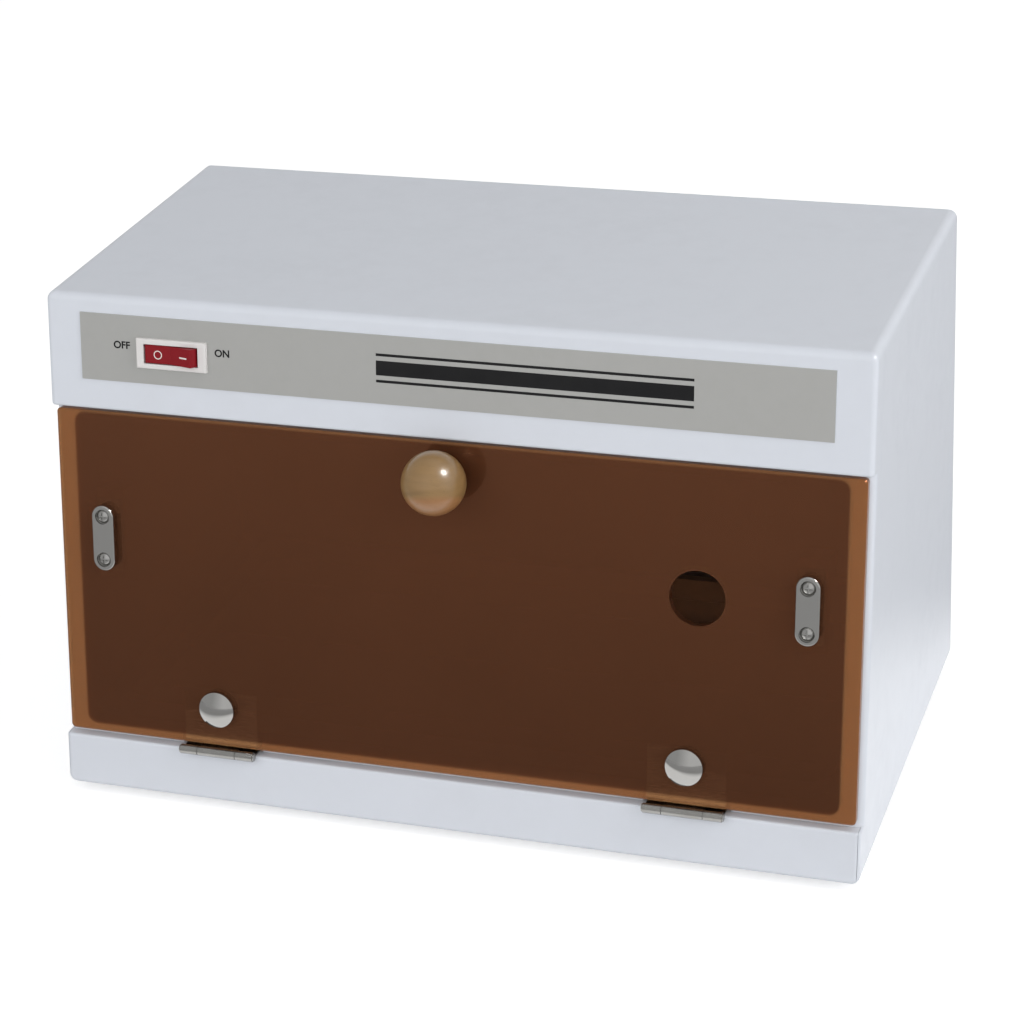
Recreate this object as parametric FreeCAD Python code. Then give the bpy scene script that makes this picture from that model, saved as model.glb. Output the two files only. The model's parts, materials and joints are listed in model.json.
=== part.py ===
"""Bench sterilizer cabinet with a leaning front and a drop-down acrylic door.

Millimetres, X to the right, Y to the back, Z up. The frame's origin is the centre of the
footprint, on the surface that the feet stand on. The pieces are drawn with the cabinet's lower
front edge on the X axis, and placed() moves them into that frame.
"""

import FreeCAD, Part
import math
import os

# Cabinet shell
cabinet_width = 380.0
cabinet_height = 234.0
cabinet_depth = 215.0
front_set_back = 39.0
sheet = 1.0
top_fold = 4.0
rim_fold = 4.0
bottom_fold = 4.0
side_fold = 2.4
lip_fold = 1.2
sheet_gap = 0.2
rear_flange = 12.0
bottom_flange = 14.0

# Front, measured along the leaning face
plinth_rise = 25.0
fascia_rise = 52.7
rim_recess = 4.8
rim_side = 10.5
rim_low = 6.5
rim_high = 4.5
opening_corner = 6.0
opening_fold = 2.5
opening_flange = 8.0
plinth_return = 11.0

# Acrylic door
door_inset = 2.5
door_recess = 0.5
door_thickness = 4.0
door_foot_gap = 3.0
door_head_gap = 1.1
door_corner = 2.0
door_bevel = 0.8
view_hole_radius = 12.5
view_hole_side = 74.7
view_hole_share = 0.617

# Wooden knob
knob_radius = 14.3
knob_seat = 13.0
knob_drop = 15.1
knob_screw_radius = 1.8
knob_screw_head = 3.6
knob_screw_dome = 2.2
knob_bore_depth = 15.0
washer_radius = 6.5
washer_thickness = 1.0

# Hinges
hinge_side = 78.7
hinge_length = 36.0
knuckle_middle = 18.6
knuckle_gap = 0.3
barrel_radius = 2.2
barrel_face_gap = 0.3
pin_radius = 1.0
pin_clearance = 0.05
pin_head = 0.6
leaf = 0.8
leaf_half_gap = 0.2
fixed_leaf_depth = 19.0
door_leaf_rise = 25.4
leaf_notch_gap = 2.0
hinge_screw_reach = 14.0
hinge_screw_spread = 11.0
hinge_screw_radius = 1.2
hinge_screw_head = 2.4
hinge_screw_dome = 1.0
hinge_screw_length = 4.0
bolt_rise = 18.4
bolt_head_radius = 8.5
bolt_head_edge = 2.6
bolt_head_dome = 2.4
bolt_radius = 2.0
nut_flats = 7.0
nut_thickness = 3.2

# Catch plates, their screws and the magnets behind them
plate_side = 25.5
plate_share = 0.6205
plate_length = 31.0
plate_width = 10.7
plate_thickness = 4.4
plate_screw_spread = 10.2
plate_screw_radius = 1.5
plate_screw_head = 3.3
plate_screw_sink = 1.4
plate_screw_dome = 1.7
plate_round = 0.8
strike_length = 34.0
strike_width = 12.0
strike_thickness = 1.5
magnet_gap = 0.4
magnet_length = 42.0
magnet_width = 13.0
magnet_depth = 16.0
magnet_arm = 9.0

# Fascia plate and rocker switch
fascia_plate_side = 17.0
fascia_plate_foot = 13.9
fascia_plate_head = 8.0
fascia_plate_thickness = 0.5
switch_side = 62.0
switch_drop = 1.1
bezel_width = 34.0
bezel_height = 13.8
bezel_thickness = 2.0
bezel_round = 0.8
switch_body_width = 30.0
switch_body_height = 11.6
switch_body_depth = 19.0
switch_wall = 1.3
switch_fit = 0.2
rocker_half = 12.9
rocker_tilt = 9.0
rocker_centre_depth = 3.0
rocker_gap = 0.35
rocker_sink = 0.6
rocker_waist = 4.0
rocker_heel = 5.0
stub_radius = 1.2
stub_length = 0.9
stub_clearance = 0.06
tab_width = 4.8
tab_thickness = 0.8
tab_length = 8.0
tab_spread = 9.0

# Electrical space
ceiling_drop = 54.0
ceiling_flange = 12.0
ballast_side = 120.0
ballast_rear = 93.0
ballast_length = 86.0
ballast_width = 40.0
ballast_height = 27.0
ballast_foot = 114.0
ballast_foot_thickness = 1.5
ballast_winding_reach = 6.0
ballast_winding_drop = 4.0
ballast_screw_radius = 1.5
ballast_screw_head = 3.0
ballast_screw_dome = 1.8
starter_x = -60.0
starter_rear = 93.0
starter_radius = 10.7
starter_height = 33.0
starter_base_radius = 14.0
starter_base_height = 9.0
starter_sink = 4.0
starter_round = 2.0
terminal_side = 62.0
terminal_rear = 65.0
terminal_poles = 4
terminal_pitch = 10.0
terminal_depth = 18.0
terminal_height = 14.0
terminal_hole = 1.8
terminal_seam = 1.2
terminal_seam_depth = 3.0

# Ultraviolet tube
lamp_length = 288.0
lamp_radius = 8.0
lamp_rear = 103.0
lamp_drop = 26.0
lamp_cap = 12.0
lamp_cap_wall = 0.4
lamp_pin_radius = 1.15
lamp_pin_spread = 4.75
lamp_pin_length = 7.0
holder_thickness = 13.0
holder_width = 22.0
holder_gap = 0.3
holder_pocket = 8.5
holder_clip_width = 9.2
holder_clip_length = 5.2
holder_clip_room = 0.4
reflector_flat = 46.0
reflector_mouth = 86.0
reflector_drop = 22.0
reflector_sheet = 0.8
reflector_end_gap = 2.0

# Tray
tray_side = 22.0
tray_front = 27.0
tray_rear_gap = 17.0
tray_height = 12.0
tray_sheet = 0.8
tray_corner = 8.0
tray_rim = 4.0
tray_slot_length = 38.0
tray_slot_width = 6.0
tray_slot_rows = 3
tray_slot_columns = 6

# Back panel and appliance inlet
panel_margin = 1.5
panel_corner = 3.0
vent_slots = 9
vent_pitch = 9.0
vent_width = 3.0
vent_length = 26.0
vent_side = 95.0
vent_drop = 28.0
inlet_side = 72.0
inlet_drop = 28.0
inlet_flange_width = 50.0
inlet_flange_height = 24.0
inlet_flange = 2.5
inlet_body_width = 28.0
inlet_body_height = 20.0
inlet_body_depth = 18.0
inlet_wall = 1.8
inlet_floor = 3.0
inlet_corner = 5.0
inlet_well_corner = 4.0
inlet_screw_spread = 20.0
inlet_pin_pitch = 7.0
inlet_pin_length = 11.0
inlet_pin_width = 2.0
inlet_pin_height = 4.0
inlet_pin_low = 1.5
inlet_earth_lift = 2.5
inlet_screw_length = 6.0
panel_screw_radius = 1.4
panel_screw_head = 3.0
panel_screw_dome = 1.6
panel_screw_length = 5.0

# Feet
foot_height = 4.0
foot_radius = 9.0
foot_taper = 1.2
foot_inset_x = 26.0
foot_inset_y = 28.0
foot_screw_radius = 1.5
foot_screw_head = 3.2
foot_screw_sink = 2.4
foot_screw_dome = 1.6
foot_nut_radius = 3.0
foot_nut_height = 2.4
foot_screw_end = 4.0

# Clearances shared by screws and sheets
hole_clearance = 0.2
thread_clearance = 0.05

# Worked out from the sizes above
half_width = cabinet_width / 2
lean_radians = math.atan2(front_set_back, cabinet_height)
lean_degrees = math.degrees(lean_radians)
lean_cos = math.cos(lean_radians)
lean_sin = math.sin(lean_radians)
front_length = math.hypot(cabinet_height, front_set_back)
fascia_edge = front_length - fascia_rise
floor_z = plinth_rise * lean_cos
opening_half = half_width - rim_side
opening_low = plinth_rise + rim_low
opening_high = fascia_edge - rim_high
door_half = half_width - door_inset
door_low = plinth_rise + door_foot_gap
door_high = fascia_edge - door_head_gap
door_back = door_recess + door_thickness
door_span = door_high - door_low
door_leaf_top = door_low + door_leaf_rise
bolt_height = door_low + bolt_rise
knob_height = door_high - knob_drop
view_hole_height = door_low + view_hole_share * door_span
plate_height = door_low + plate_share * door_span
hinge_x = half_width - hinge_side
plate_x = half_width - plate_side
view_hole_x = half_width - view_hole_side
fascia_plate_low = fascia_edge + fascia_plate_foot
fascia_plate_high = front_length - fascia_plate_head
switch_x = switch_side - half_width
switch_height = (fascia_plate_low + fascia_plate_high) / 2 - switch_drop
axis_z = floor_z + leaf + leaf_half_gap
axis_y = (axis_z * lean_sin - barrel_radius - barrel_face_gap) / lean_cos
plinth_half = half_width - sheet - sheet_gap
rear_face = cabinet_depth + sheet
ceiling_height = cabinet_height - ceiling_drop
lamp_y = cabinet_depth - lamp_rear
lamp_z = ceiling_height - lamp_drop
ballast_x = half_width - ballast_side
ballast_y = cabinet_depth - ballast_rear
starter_y = cabinet_depth - starter_rear
terminal_x = terminal_side - half_width
terminal_y = cabinet_depth - terminal_rear
tray_half = half_width - tray_side
tray_rear = cabinet_depth - tray_rear_gap
vent_x = vent_side - half_width
vent_height = cabinet_height - vent_drop
inlet_x = half_width - inlet_side
inlet_height = cabinet_height - inlet_drop
bottom_plate_top = 2 * sheet
middle_y = (axis_y - barrel_radius + rear_face + inlet_flange) / 2
overrun = 5.0


def point(x, y, z):
    return FreeCAD.Vector(x, y, z)


def block(x_low, x_high, y_low, y_high, z_low, z_high):
    """A box between two corners."""
    return Part.makeBox(x_high - x_low, y_high - y_low, z_high - z_low, point(x_low, y_low, z_low))


def disc(radius, x, y, z, length, direction):
    """A round bar from a point, along a direction."""
    return Part.makeCylinder(radius, length, point(x, y, z), direction)


def hole_through(radius, x, z, y_low, y_high):
    """A bar along Y, used for holes and shanks that cross the front or the back."""
    return disc(radius, x, y_low, z, y_high - y_low, point(0, 1, 0))


def upright_hole(radius, x, y, z):
    """A short bar along Z, used for screw holes in the sheet at a height."""
    return disc(radius, x, y, z - overrun, 2 * overrun, point(0, 0, 1))


def lean(shape):
    """Turn a shape drawn on an upright front onto the leaning front."""
    leaned = shape.copy()
    leaned.rotate(point(0, 0, 0), point(1, 0, 0), -lean_degrees)
    return leaned


def slope(depth, rise):
    """Y and Z of a spot at a depth behind the leaning face and a rise along it."""
    return (depth * lean_cos + rise * lean_sin, rise * lean_cos - depth * lean_sin)


def slope_at(depth, height):
    """Y and Z where the plane at a depth behind the leaning face reaches a height."""
    return slope(depth, (height + depth * lean_sin) / lean_cos)


def prism_x(outline, x_low, x_high):
    """A Y-Z outline drawn out along X."""
    corners = [point(x_low, y, z) for y, z in outline]
    face = Part.Face(Part.makePolygon(corners + corners[:1]))
    return face.extrude(point(x_high - x_low, 0, 0))


def rounded_slab(x_half, z_low, z_high, corner, y_low, y_high):
    """A slab across Y whose four corners in the X-Z view are round."""
    slab = block(-x_half, x_half, y_low, y_high, z_low, z_high)
    corners = []
    for x in (-x_half, x_half):
        for z in (z_low, z_high):
            corners.append(point(x, (y_low + y_high) / 2, z))
    return fillet_at(slab, corner, corners)


def capsule(x, z, length, width, y_low, y_high):
    """A slab with full-round ends, its long side upright."""
    straight = (length - width) / 2
    shape = block(x - width / 2, x + width / 2, y_low, y_high, z - straight, z + straight)
    for end in (z - straight, z + straight):
        shape = shape.fuse(hole_through(width / 2, x, end, y_low, y_high))
    return shape.removeSplitter()


def flat_capsule(x, y, length, width, z_low, z_high):
    """A flat slot form with full-round ends, its long side along X."""
    straight = (length - width) / 2
    shape = block(x - straight, x + straight, y - width / 2, y + width / 2, z_low, z_high)
    for end in (x - straight, x + straight):
        shape = shape.fuse(disc(width / 2, end, y, z_low, z_high - z_low, point(0, 0, 1)))
    return shape.removeSplitter()


def edges_at(shape, middles):
    """The edges whose middles lie nearest to the given points."""
    found = []
    for middle in middles:
        nearest = min(shape.Edges, key=lambda edge: edge.CenterOfMass.distanceToPoint(middle))
        found.append(nearest)
    return found


def fillet_at(shape, radius, middles):
    """Round the edges whose middles are given."""
    return shape.makeFillet(radius, edges_at(shape, middles))


def dome_screw(shank_radius, shank_length, head_radius, head_height):
    """A screw along +Y whose domed head stands before the X-Z plane."""
    dome_radius = (head_radius ** 2 + head_height ** 2) / (2 * head_height)
    ball = Part.makeSphere(dome_radius, point(0, dome_radius - head_height, 0))
    head = ball.common(disc(head_radius, 0, -head_height, 0, head_height, point(0, 1, 0)))
    arm = head_radius * 0.62
    blade = head_radius * 0.12
    sink = head_height * 0.45
    for x, z in ((arm, blade), (blade, arm)):
        head = head.cut(block(-x, x, -head_height - sink, sink - head_height, -z, z))
    shank = disc(shank_radius, 0, 0, 0, shank_length, point(0, 1, 0))
    return head.fuse(shank)


def moved(shape, x, y, z):
    """A copy of a shape, shifted."""
    copy = shape.copy()
    copy.translate(point(x, y, z))
    return copy


def group(shapes):
    """Separate solids that share one node."""
    solids = []
    for shape in shapes:
        solids.extend(shape.Solids)
    return Part.makeCompound(solids)


def placed(shape):
    """Move a piece from the drawing frame to the footprint's centre and onto its feet."""
    return moved(shape, 0, -middle_y, foot_height)


def cover_outline(inset):
    """Side view of the cover, drawn in by a sheet for its inner face."""
    top = cabinet_height - inset
    rear = cabinet_depth - inset
    ledge = floor_z - inset
    return [
        slope_at(inset, inset),
        slope_at(inset, ledge),
        slope_at(rim_recess + inset, ledge),
        slope(rim_recess + inset, fascia_edge + inset),
        slope(inset, fascia_edge + inset),
        slope_at(inset, top),
        (rear, top),
        (rear, inset),
    ]


def cover_form(inset):
    """The cover as a filled form with its folds, drawn in by a sheet for its inside."""
    half = half_width - inset
    outline = cover_outline(inset)
    form = prism_x(outline, -half, half)

    def side_middles(first, second):
        y = (outline[first][0] + outline[second][0]) / 2
        z = (outline[first][1] + outline[second][1]) / 2
        return [point(-half, y, z), point(half, y, z)]

    top_middles = side_middles(5, 6) + [point(0, outline[5][0], outline[5][1])]
    form = fillet_at(form, top_fold - inset, top_middles)
    form = fillet_at(form, rim_fold - inset, side_middles(2, 3))
    form = fillet_at(form, bottom_fold - inset, side_middles(7, 0))
    form = fillet_at(form, side_fold - inset, side_middles(4, 5))
    return fillet_at(form, side_fold - inset, side_middles(0, 1))


def cover_outside():
    """The cover's outer form, with the folded lips over and under the door."""
    outline = cover_outline(0)
    form = cover_form(0)
    for corner in (4, 1):
        form = fillet_at(form, lip_fold, [point(0, outline[corner][0], outline[corner][1])])
    return form


def opening_plug(inset):
    """The door opening as a filled form with a flared mouth, in the upright front."""
    margin = opening_fold + 1.0
    mouth = rim_recess + inset
    half = opening_half + inset
    low = opening_low - inset
    high = opening_high + inset
    corner = opening_corner + inset
    throat = rounded_slab(half, low, high, corner, 0, rim_recess + opening_flange)
    slab = block(-half - margin, half + margin, 0, mouth, low - margin, high + margin)
    form = slab.fuse(throat)
    mouth_edges = []
    for edge in form.Edges:
        box = edge.BoundBox
        at_mouth = abs(box.YMin - mouth) < 0.001 and abs(box.YMax - mouth) < 0.001
        if at_mouth and box.XMin > -half - 0.001 and box.XMax < half + 0.001:
            mouth_edges.append(edge)
    return form.makeFillet(opening_fold - inset, mouth_edges)


def rolled_edge():
    """The sheet turned in round the door opening."""
    outer = opening_plug(sheet)
    keep = block(-half_width, half_width, rim_recess, rim_recess + opening_flange, 0, cabinet_height)
    return outer.common(keep).cut(opening_plug(0))


def front_sheet():
    """The cover's sheet with all its cut-outs, which part the sill between the hinges from it."""
    cover = cover_outside().cut(cover_form(sheet))
    cover = cover.fuse(lean(rolled_edge()))
    cover = cover.cut(lean(opening_plug(0)))
    rear_half = half_width - rear_flange
    rear_top = cabinet_height - rear_flange
    rear_inside = cabinet_depth - 2 * sheet
    cover = cover.cut(block(-rear_half, rear_half, rear_inside, rear_face, -overrun, rear_top))
    base_half = half_width - bottom_flange
    cover = cover.cut(block(-base_half, base_half, -overrun, rear_face, -overrun, sheet))
    cover = cover.cut(plinth_room())
    for side in (-1, 1):
        notch = hinge_length / 2 + leaf_notch_gap
        x = side * hinge_x
        depth = rim_recess + opening_flange + overrun
        high = opening_low + opening_fold + sheet
        gap = block(x - notch, x + notch, 0, depth, plinth_rise - overrun, high)
        cover = cover.cut(lean(gap))
    cover = cover.cut(switch_cut_out(-overrun, 3 * sheet))
    for x, z in panel_screw_spots():
        radius = panel_screw_radius + thread_clearance
        cover = cover.cut(hole_through(radius, x, z, rear_inside, rear_face))
    return sorted(cover.Solids, key=lambda solid: solid.Volume)


def outer_cover():
    """Top, sides, fascia and rim, folded from one sheet, with flanges at the rear and bottom."""
    return front_sheet()[1]


def door_sill():
    """The rolled strip of the rim that stands on the chamber floor between the hinges."""
    return front_sheet()[0]


def plinth_room():
    """The space that the plinth takes out of the cover's front and ledge."""
    half = half_width - sheet
    top = floor_z + sheet_gap / 2
    low = floor_z - sheet - sheet_gap
    behind_fold = side_fold + sheet_gap
    behind_rim = rim_recess + rim_fold + sheet_gap
    front = [
        (-overrun, -overrun), (-overrun, top),
        slope_at(behind_fold, top), slope_at(behind_fold, -overrun),
    ]
    ledge = [
        (-overrun, low), (-overrun, top),
        slope_at(behind_rim, top), slope_at(behind_rim, low),
    ]
    return prism_x(front, -half, half).fuse(prism_x(ledge, -half, half))


def plinth():
    """Front strip and raised chamber floor in one sheet, turned down at its sides and rear."""
    half = plinth_half
    rear = cabinet_depth - sheet - sheet_gap
    front_top = slope_at(0, floor_z)
    outline = [(0, 0), front_top, (rear, floor_z), (rear, 0)]
    form = prism_x(outline, -half, half)
    form = fillet_at(form, lip_fold, [point(0, 0, 0), point(0, front_top[0], front_top[1])])
    inner = [
        slope_at(sheet, sheet), slope_at(sheet, floor_z - sheet),
        (rear - sheet, floor_z - sheet), (rear - sheet, sheet),
    ]
    shell = form.cut(prism_x(inner, sheet - half, half - sheet))
    shell = shell.cut(block(-half, half, plinth_return, cabinet_depth, -overrun, bottom_fold))
    side = half_width - bottom_flange - sheet_gap
    front_wall = slope_at(sheet + sheet_gap, bottom_plate_top)[0]
    for x_low, x_high in ((-half_width, -side), (side, half_width)):
        corner = block(x_low, x_high, front_wall, plinth_return + overrun, -overrun, bottom_fold)
        shell = shell.cut(corner)
    shell = shell.common(cover_outside())
    for x, y in hinge_screw_spots():
        shell = shell.cut(upright_hole(hinge_screw_radius + thread_clearance, x, y, floor_z))
    return shell


def foot_spots():
    """Centres of the four feet."""
    spots = []
    for x in (foot_inset_x - half_width, half_width - foot_inset_x):
        for y in (foot_inset_y, cabinet_depth - foot_inset_y):
            spots.append((x, y))
    return spots


def bottom_plate():
    """The flat sheet that closes the plinth and carries the feet."""
    half = half_width - bottom_fold - sheet_gap
    rear = cabinet_depth - sheet - sheet_gap
    outline = [
        slope_at(sheet + sheet_gap, sheet), slope_at(sheet + sheet_gap, bottom_plate_top),
        (rear, bottom_plate_top), (rear, sheet),
    ]
    plate = prism_x(outline, -half, half)
    for x, y in foot_spots():
        plate = plate.cut(upright_hole(foot_screw_radius + hole_clearance, x, y, sheet))
    return plate


def switch_cut_out(depth_low, depth_high):
    """The hole for the switch body, through the fascia and its plate."""
    x_half = switch_body_width / 2 + switch_fit
    z_half = switch_body_height / 2 + switch_fit
    return lean(block(switch_x - x_half, switch_x + x_half, depth_low, depth_high,
                      switch_height - z_half, switch_height + z_half))


def fascia_plate():
    """The grey plate on the fascia."""
    half = half_width - fascia_plate_side
    plate = block(-half, half, -fascia_plate_thickness, 0, fascia_plate_low, fascia_plate_high)
    return lean(plate).cut(switch_cut_out(-overrun, overrun))


def rocker_pivot_depth():
    """Depth of the rocker's axis that leaves its pressed half just inside the bezel."""
    front = fascia_plate_thickness + bezel_thickness
    return rocker_sink + rocker_centre_depth * math.cos(math.radians(rocker_tilt)) - front


def switch_housing():
    """White bezel and body, with the well that the rocker turns in and three tabs behind."""
    seat = -fascia_plate_thickness
    front = seat - bezel_thickness
    bezel = block(-bezel_width / 2, bezel_width / 2, front, seat, -bezel_height / 2, bezel_height / 2)
    rim = [edge for edge in bezel.Edges if abs(edge.BoundBox.YMax - front) < 0.001]
    bezel = bezel.makeFillet(bezel_round, rim)
    x_half = switch_body_width / 2
    z_half = switch_body_height / 2
    body = block(-x_half, x_half, seat, switch_body_depth, -z_half, z_half)
    housing = bezel.fuse(body)
    well_half = rocker_half + rocker_gap
    well_high = z_half - switch_wall
    well_floor = switch_body_depth - 3 * switch_wall
    well = block(-well_half, well_half, front - overrun, well_floor, -well_high, well_high)
    housing = housing.cut(well)
    socket = well_high + stub_length + stub_clearance
    radius = stub_radius + stub_clearance
    housing = housing.cut(disc(radius, 0, rocker_pivot_depth(), -socket, 2 * socket, point(0, 0, 1)))
    for x in (-tab_spread, 0.0, tab_spread):
        tab = block(x - tab_thickness / 2, x + tab_thickness / 2, switch_body_depth - sheet,
                    switch_body_depth + tab_length, -tab_width / 2, tab_width / 2)
        housing = housing.fuse(tab)
    return lean(moved(housing, switch_x, 0, switch_height))


def switch_rocker():
    """The rocker with its stub pins, tipped to the pressed position on its left."""
    depth = rocker_pivot_depth()
    rise = rocker_half * math.tan(math.radians(rocker_tilt))
    front = -rocker_centre_depth
    outline = [
        (0, front), (rocker_half, front - rise), (rocker_half, sheet), (rocker_waist, rocker_heel),
        (-rocker_waist, rocker_heel), (-rocker_half, sheet), (-rocker_half, front - rise),
    ]
    z_half = switch_body_height / 2 - switch_wall - rocker_gap
    corners = [point(x, y, -z_half) for x, y in outline]
    face = Part.Face(Part.makePolygon(corners + corners[:1]))
    rocker = face.extrude(point(0, 0, 2 * z_half))
    sweep = disc(rocker_half, 0, 0, -z_half, 2 * z_half, point(0, 0, 1))
    rocker = rocker.common(sweep)
    stub = z_half + rocker_gap + stub_length
    rocker = rocker.fuse(disc(stub_radius, 0, 0, -stub, 2 * stub, point(0, 0, 1)))
    rocker.rotate(point(0, 0, 0), point(0, 0, 1), -rocker_tilt)
    return lean(moved(rocker, switch_x, depth, switch_height))


def door_screw_spots():
    """Centres of the four catch plate screws on the door."""
    spots = []
    for x in (-plate_x, plate_x):
        for rise in (-plate_screw_spread, plate_screw_spread):
            spots.append((x, plate_height + rise))
    return spots


def door_panel():
    """The acrylic door, bevelled at its front edges and drilled for what it carries."""
    door = rounded_slab(door_half, door_low, door_high, door_corner, door_recess, door_back)
    front = [edge for edge in door.Edges if abs(edge.BoundBox.YMax - door_recess) < 0.001]
    door = door.makeChamfer(door_bevel, front)
    holes = [(view_hole_radius, view_hole_x, view_hole_height)]
    holes.append((knob_screw_radius + hole_clearance, 0, knob_height))
    for side in (-1, 1):
        holes.append((bolt_radius + hole_clearance, side * hinge_x, bolt_height))
    for x, z in door_screw_spots():
        holes.append((plate_screw_radius + hole_clearance, x, z))
    for radius, x, z in holes:
        door = door.cut(hole_through(radius, x, z, 0, 2 * door_back))
    return lean(door)


def door_knob():
    """A turned ball with a flat seat on the door and a bore for its screw."""
    centre = door_recess - knob_seat
    ball = Part.makeSphere(knob_radius, point(0, centre, knob_height))
    reach = 2 * knob_radius
    behind = block(-reach, reach, door_recess, reach, knob_height - reach, knob_height + reach)
    radius = knob_screw_radius + thread_clearance
    bore = hole_through(radius, 0, knob_height, door_recess - knob_bore_depth, reach)
    return lean(ball.cut(behind).cut(bore))


def knob_washer():
    """The washer between the screw's head and the back of the door."""
    ring = hole_through(washer_radius, 0, knob_height, door_back, door_back + washer_thickness)
    radius = knob_screw_radius + hole_clearance
    return lean(ring.cut(hole_through(radius, 0, knob_height, 0, 3 * door_back)))


def knob_screw():
    """The screw that holds the knob, from behind the door."""
    seat = door_back + washer_thickness
    length = seat - door_recess + knob_bore_depth - sheet
    screw = dome_screw(knob_screw_radius, length, knob_screw_head, knob_screw_dome)
    screw.rotate(point(0, 0, 0), point(0, 0, 1), 180)
    return lean(moved(screw, 0, seat, knob_height))


def hinge_screw_spots():
    """Centres of the screws in the fixed leaves."""
    spots = []
    for side in (-1, 1):
        for shift in (-hinge_screw_spread, hinge_screw_spread):
            spots.append((side * hinge_x + shift, axis_y + hinge_screw_reach))
    return spots


def knuckle(x_low, x_high):
    """A rolled knuckle round the pin."""
    ring = disc(barrel_radius, x_low, axis_y, axis_z, x_high - x_low, point(1, 0, 0))
    bore = disc(pin_radius + pin_clearance, x_low - overrun, axis_y, axis_z,
                x_high - x_low + 2 * overrun, point(1, 0, 0))
    return ring.cut(bore)


def hinge_fixed_leaf(side):
    """The leaf on the chamber floor, with the two outer knuckles."""
    x = side * hinge_x
    half = hinge_length / 2
    inner = knuckle_middle / 2 + knuckle_gap
    root = axis_y + pin_radius + pin_clearance + leaf_half_gap
    plate = block(x - half, x + half, root, axis_y + fixed_leaf_depth, floor_z, floor_z + leaf)
    swing = barrel_radius + knuckle_gap
    plate = plate.cut(block(x - inner, x + inner, axis_y - swing, axis_y + swing, 0, axis_z + swing))
    shape = plate.fuse(knuckle(x - half, x - inner)).fuse(knuckle(x + inner, x + half))
    for spot_x, spot_y in hinge_screw_spots():
        shape = shape.cut(upright_hole(hinge_screw_radius + hole_clearance, spot_x, spot_y, floor_z))
    return shape


def hinge_door_leaf(side):
    """The leaf that passes under the door's edge and turns up behind it."""
    x = side * hinge_x
    half = hinge_length / 2
    inner = knuckle_middle / 2
    root = axis_y + pin_radius + pin_clearance + leaf_half_gap
    low = axis_z + leaf_half_gap
    bend = slope_at(door_back + leaf, low)[0]
    tongue = block(x - inner, x + inner, root, bend, low, low + leaf)
    start = (low + (door_back + leaf) * lean_sin) / lean_cos
    behind = door_back + leaf
    upright = block(x - half, x + half, door_back, behind, door_low + knuckle_gap, door_leaf_top)
    neck = block(x - inner, x + inner, door_back, behind, start, door_low + 2 * leaf)
    bolt_hole = hole_through(bolt_radius + hole_clearance, x, bolt_height, 0, 3 * door_back)
    shape = knuckle(x - inner, x + inner).fuse(tongue)
    shape = shape.fuse(lean(upright.fuse(neck)))
    return shape.cut(lean(bolt_hole)).removeSplitter()


def hinge_pin(side):
    """The pin through the three knuckles, with a small head at each end."""
    start = side * hinge_x - hinge_length / 2 - pin_head
    pin = disc(pin_radius, start, axis_y, axis_z, hinge_length + 2 * pin_head, point(1, 0, 0))
    for x in (start, start + hinge_length + pin_head):
        pin = pin.fuse(disc(barrel_radius - 0.4, x, axis_y, axis_z, pin_head, point(1, 0, 0)))
    return pin


def hinge_bolt(side):
    """A domed cap with its stud, through the door and the leaf."""
    dome_radius = (bolt_head_radius ** 2 + bolt_head_dome ** 2) / (2 * bolt_head_dome)
    x = side * hinge_x
    edge = door_recess - bolt_head_edge
    rim = hole_through(bolt_head_radius, x, bolt_height, edge, door_recess)
    ball = Part.makeSphere(dome_radius, point(x, edge - bolt_head_dome + dome_radius, bolt_height))
    crown = ball.common(hole_through(bolt_head_radius, x, bolt_height, edge - bolt_head_dome, edge))
    stud_end = door_back + leaf + nut_thickness + bolt_radius / 2
    stud = hole_through(bolt_radius, x, bolt_height, edge, stud_end)
    return lean(rim.fuse(crown).fuse(stud).removeSplitter())


def hinge_nut(side):
    """The hexagon nut on the stud, against the leaf."""
    corner = nut_flats / 2 / math.cos(math.pi / 6)
    seat = door_back + leaf
    corners = []
    for step in range(7):
        angle = step * math.pi / 3
        across = side * hinge_x + corner * math.cos(angle)
        corners.append(point(across, seat, bolt_height + corner * math.sin(angle)))
    nut = Part.Face(Part.makePolygon(corners)).extrude(point(0, nut_thickness, 0))
    radius = bolt_radius + thread_clearance
    return lean(nut.cut(hole_through(radius, side * hinge_x, bolt_height, 0, 3 * door_back)))


def catch_plate(side):
    """The capsule plate on the door, counterbored for its two screws."""
    front = door_recess - plate_thickness
    x = side * plate_x
    plate = capsule(x, plate_height, plate_length, plate_width, front, door_recess)
    rim = [edge for edge in plate.Edges if abs(edge.BoundBox.YMax - front) < 0.001]
    plate = plate.makeFillet(plate_round, rim)
    shank = plate_screw_radius + hole_clearance
    head = plate_screw_head + hole_clearance
    for shift in (-plate_screw_spread, plate_screw_spread):
        z = plate_height + shift
        plate = plate.cut(hole_through(shank, x, z, front - overrun, overrun))
        plate = plate.cut(hole_through(head, x, z, front - overrun, front + plate_screw_sink))
    return lean(plate)


def strike_plate(side):
    """The steel plate behind the door that the magnet pulls."""
    x = side * plate_x
    across = strike_width / 2
    along = strike_length / 2
    plate = block(x - across, x + across, door_back, door_back + strike_thickness,
                  plate_height - along, plate_height + along)
    radius = plate_screw_radius + thread_clearance
    for shift in (-plate_screw_spread, plate_screw_spread):
        plate = plate.cut(hole_through(radius, x, plate_height + shift, 0, 3 * door_back))
    return lean(plate)


def catch_screws(side):
    """The two cross-head screws of one catch plate."""
    front = door_recess - plate_thickness
    seat = front + plate_screw_sink
    length = door_back + strike_thickness - seat
    screws = []
    for shift in (-plate_screw_spread, plate_screw_spread):
        screw = dome_screw(plate_screw_radius, length, plate_screw_head, plate_screw_dome)
        screws.append(lean(moved(screw, side * plate_x, seat, plate_height + shift)))
    return group(screws)


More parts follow.
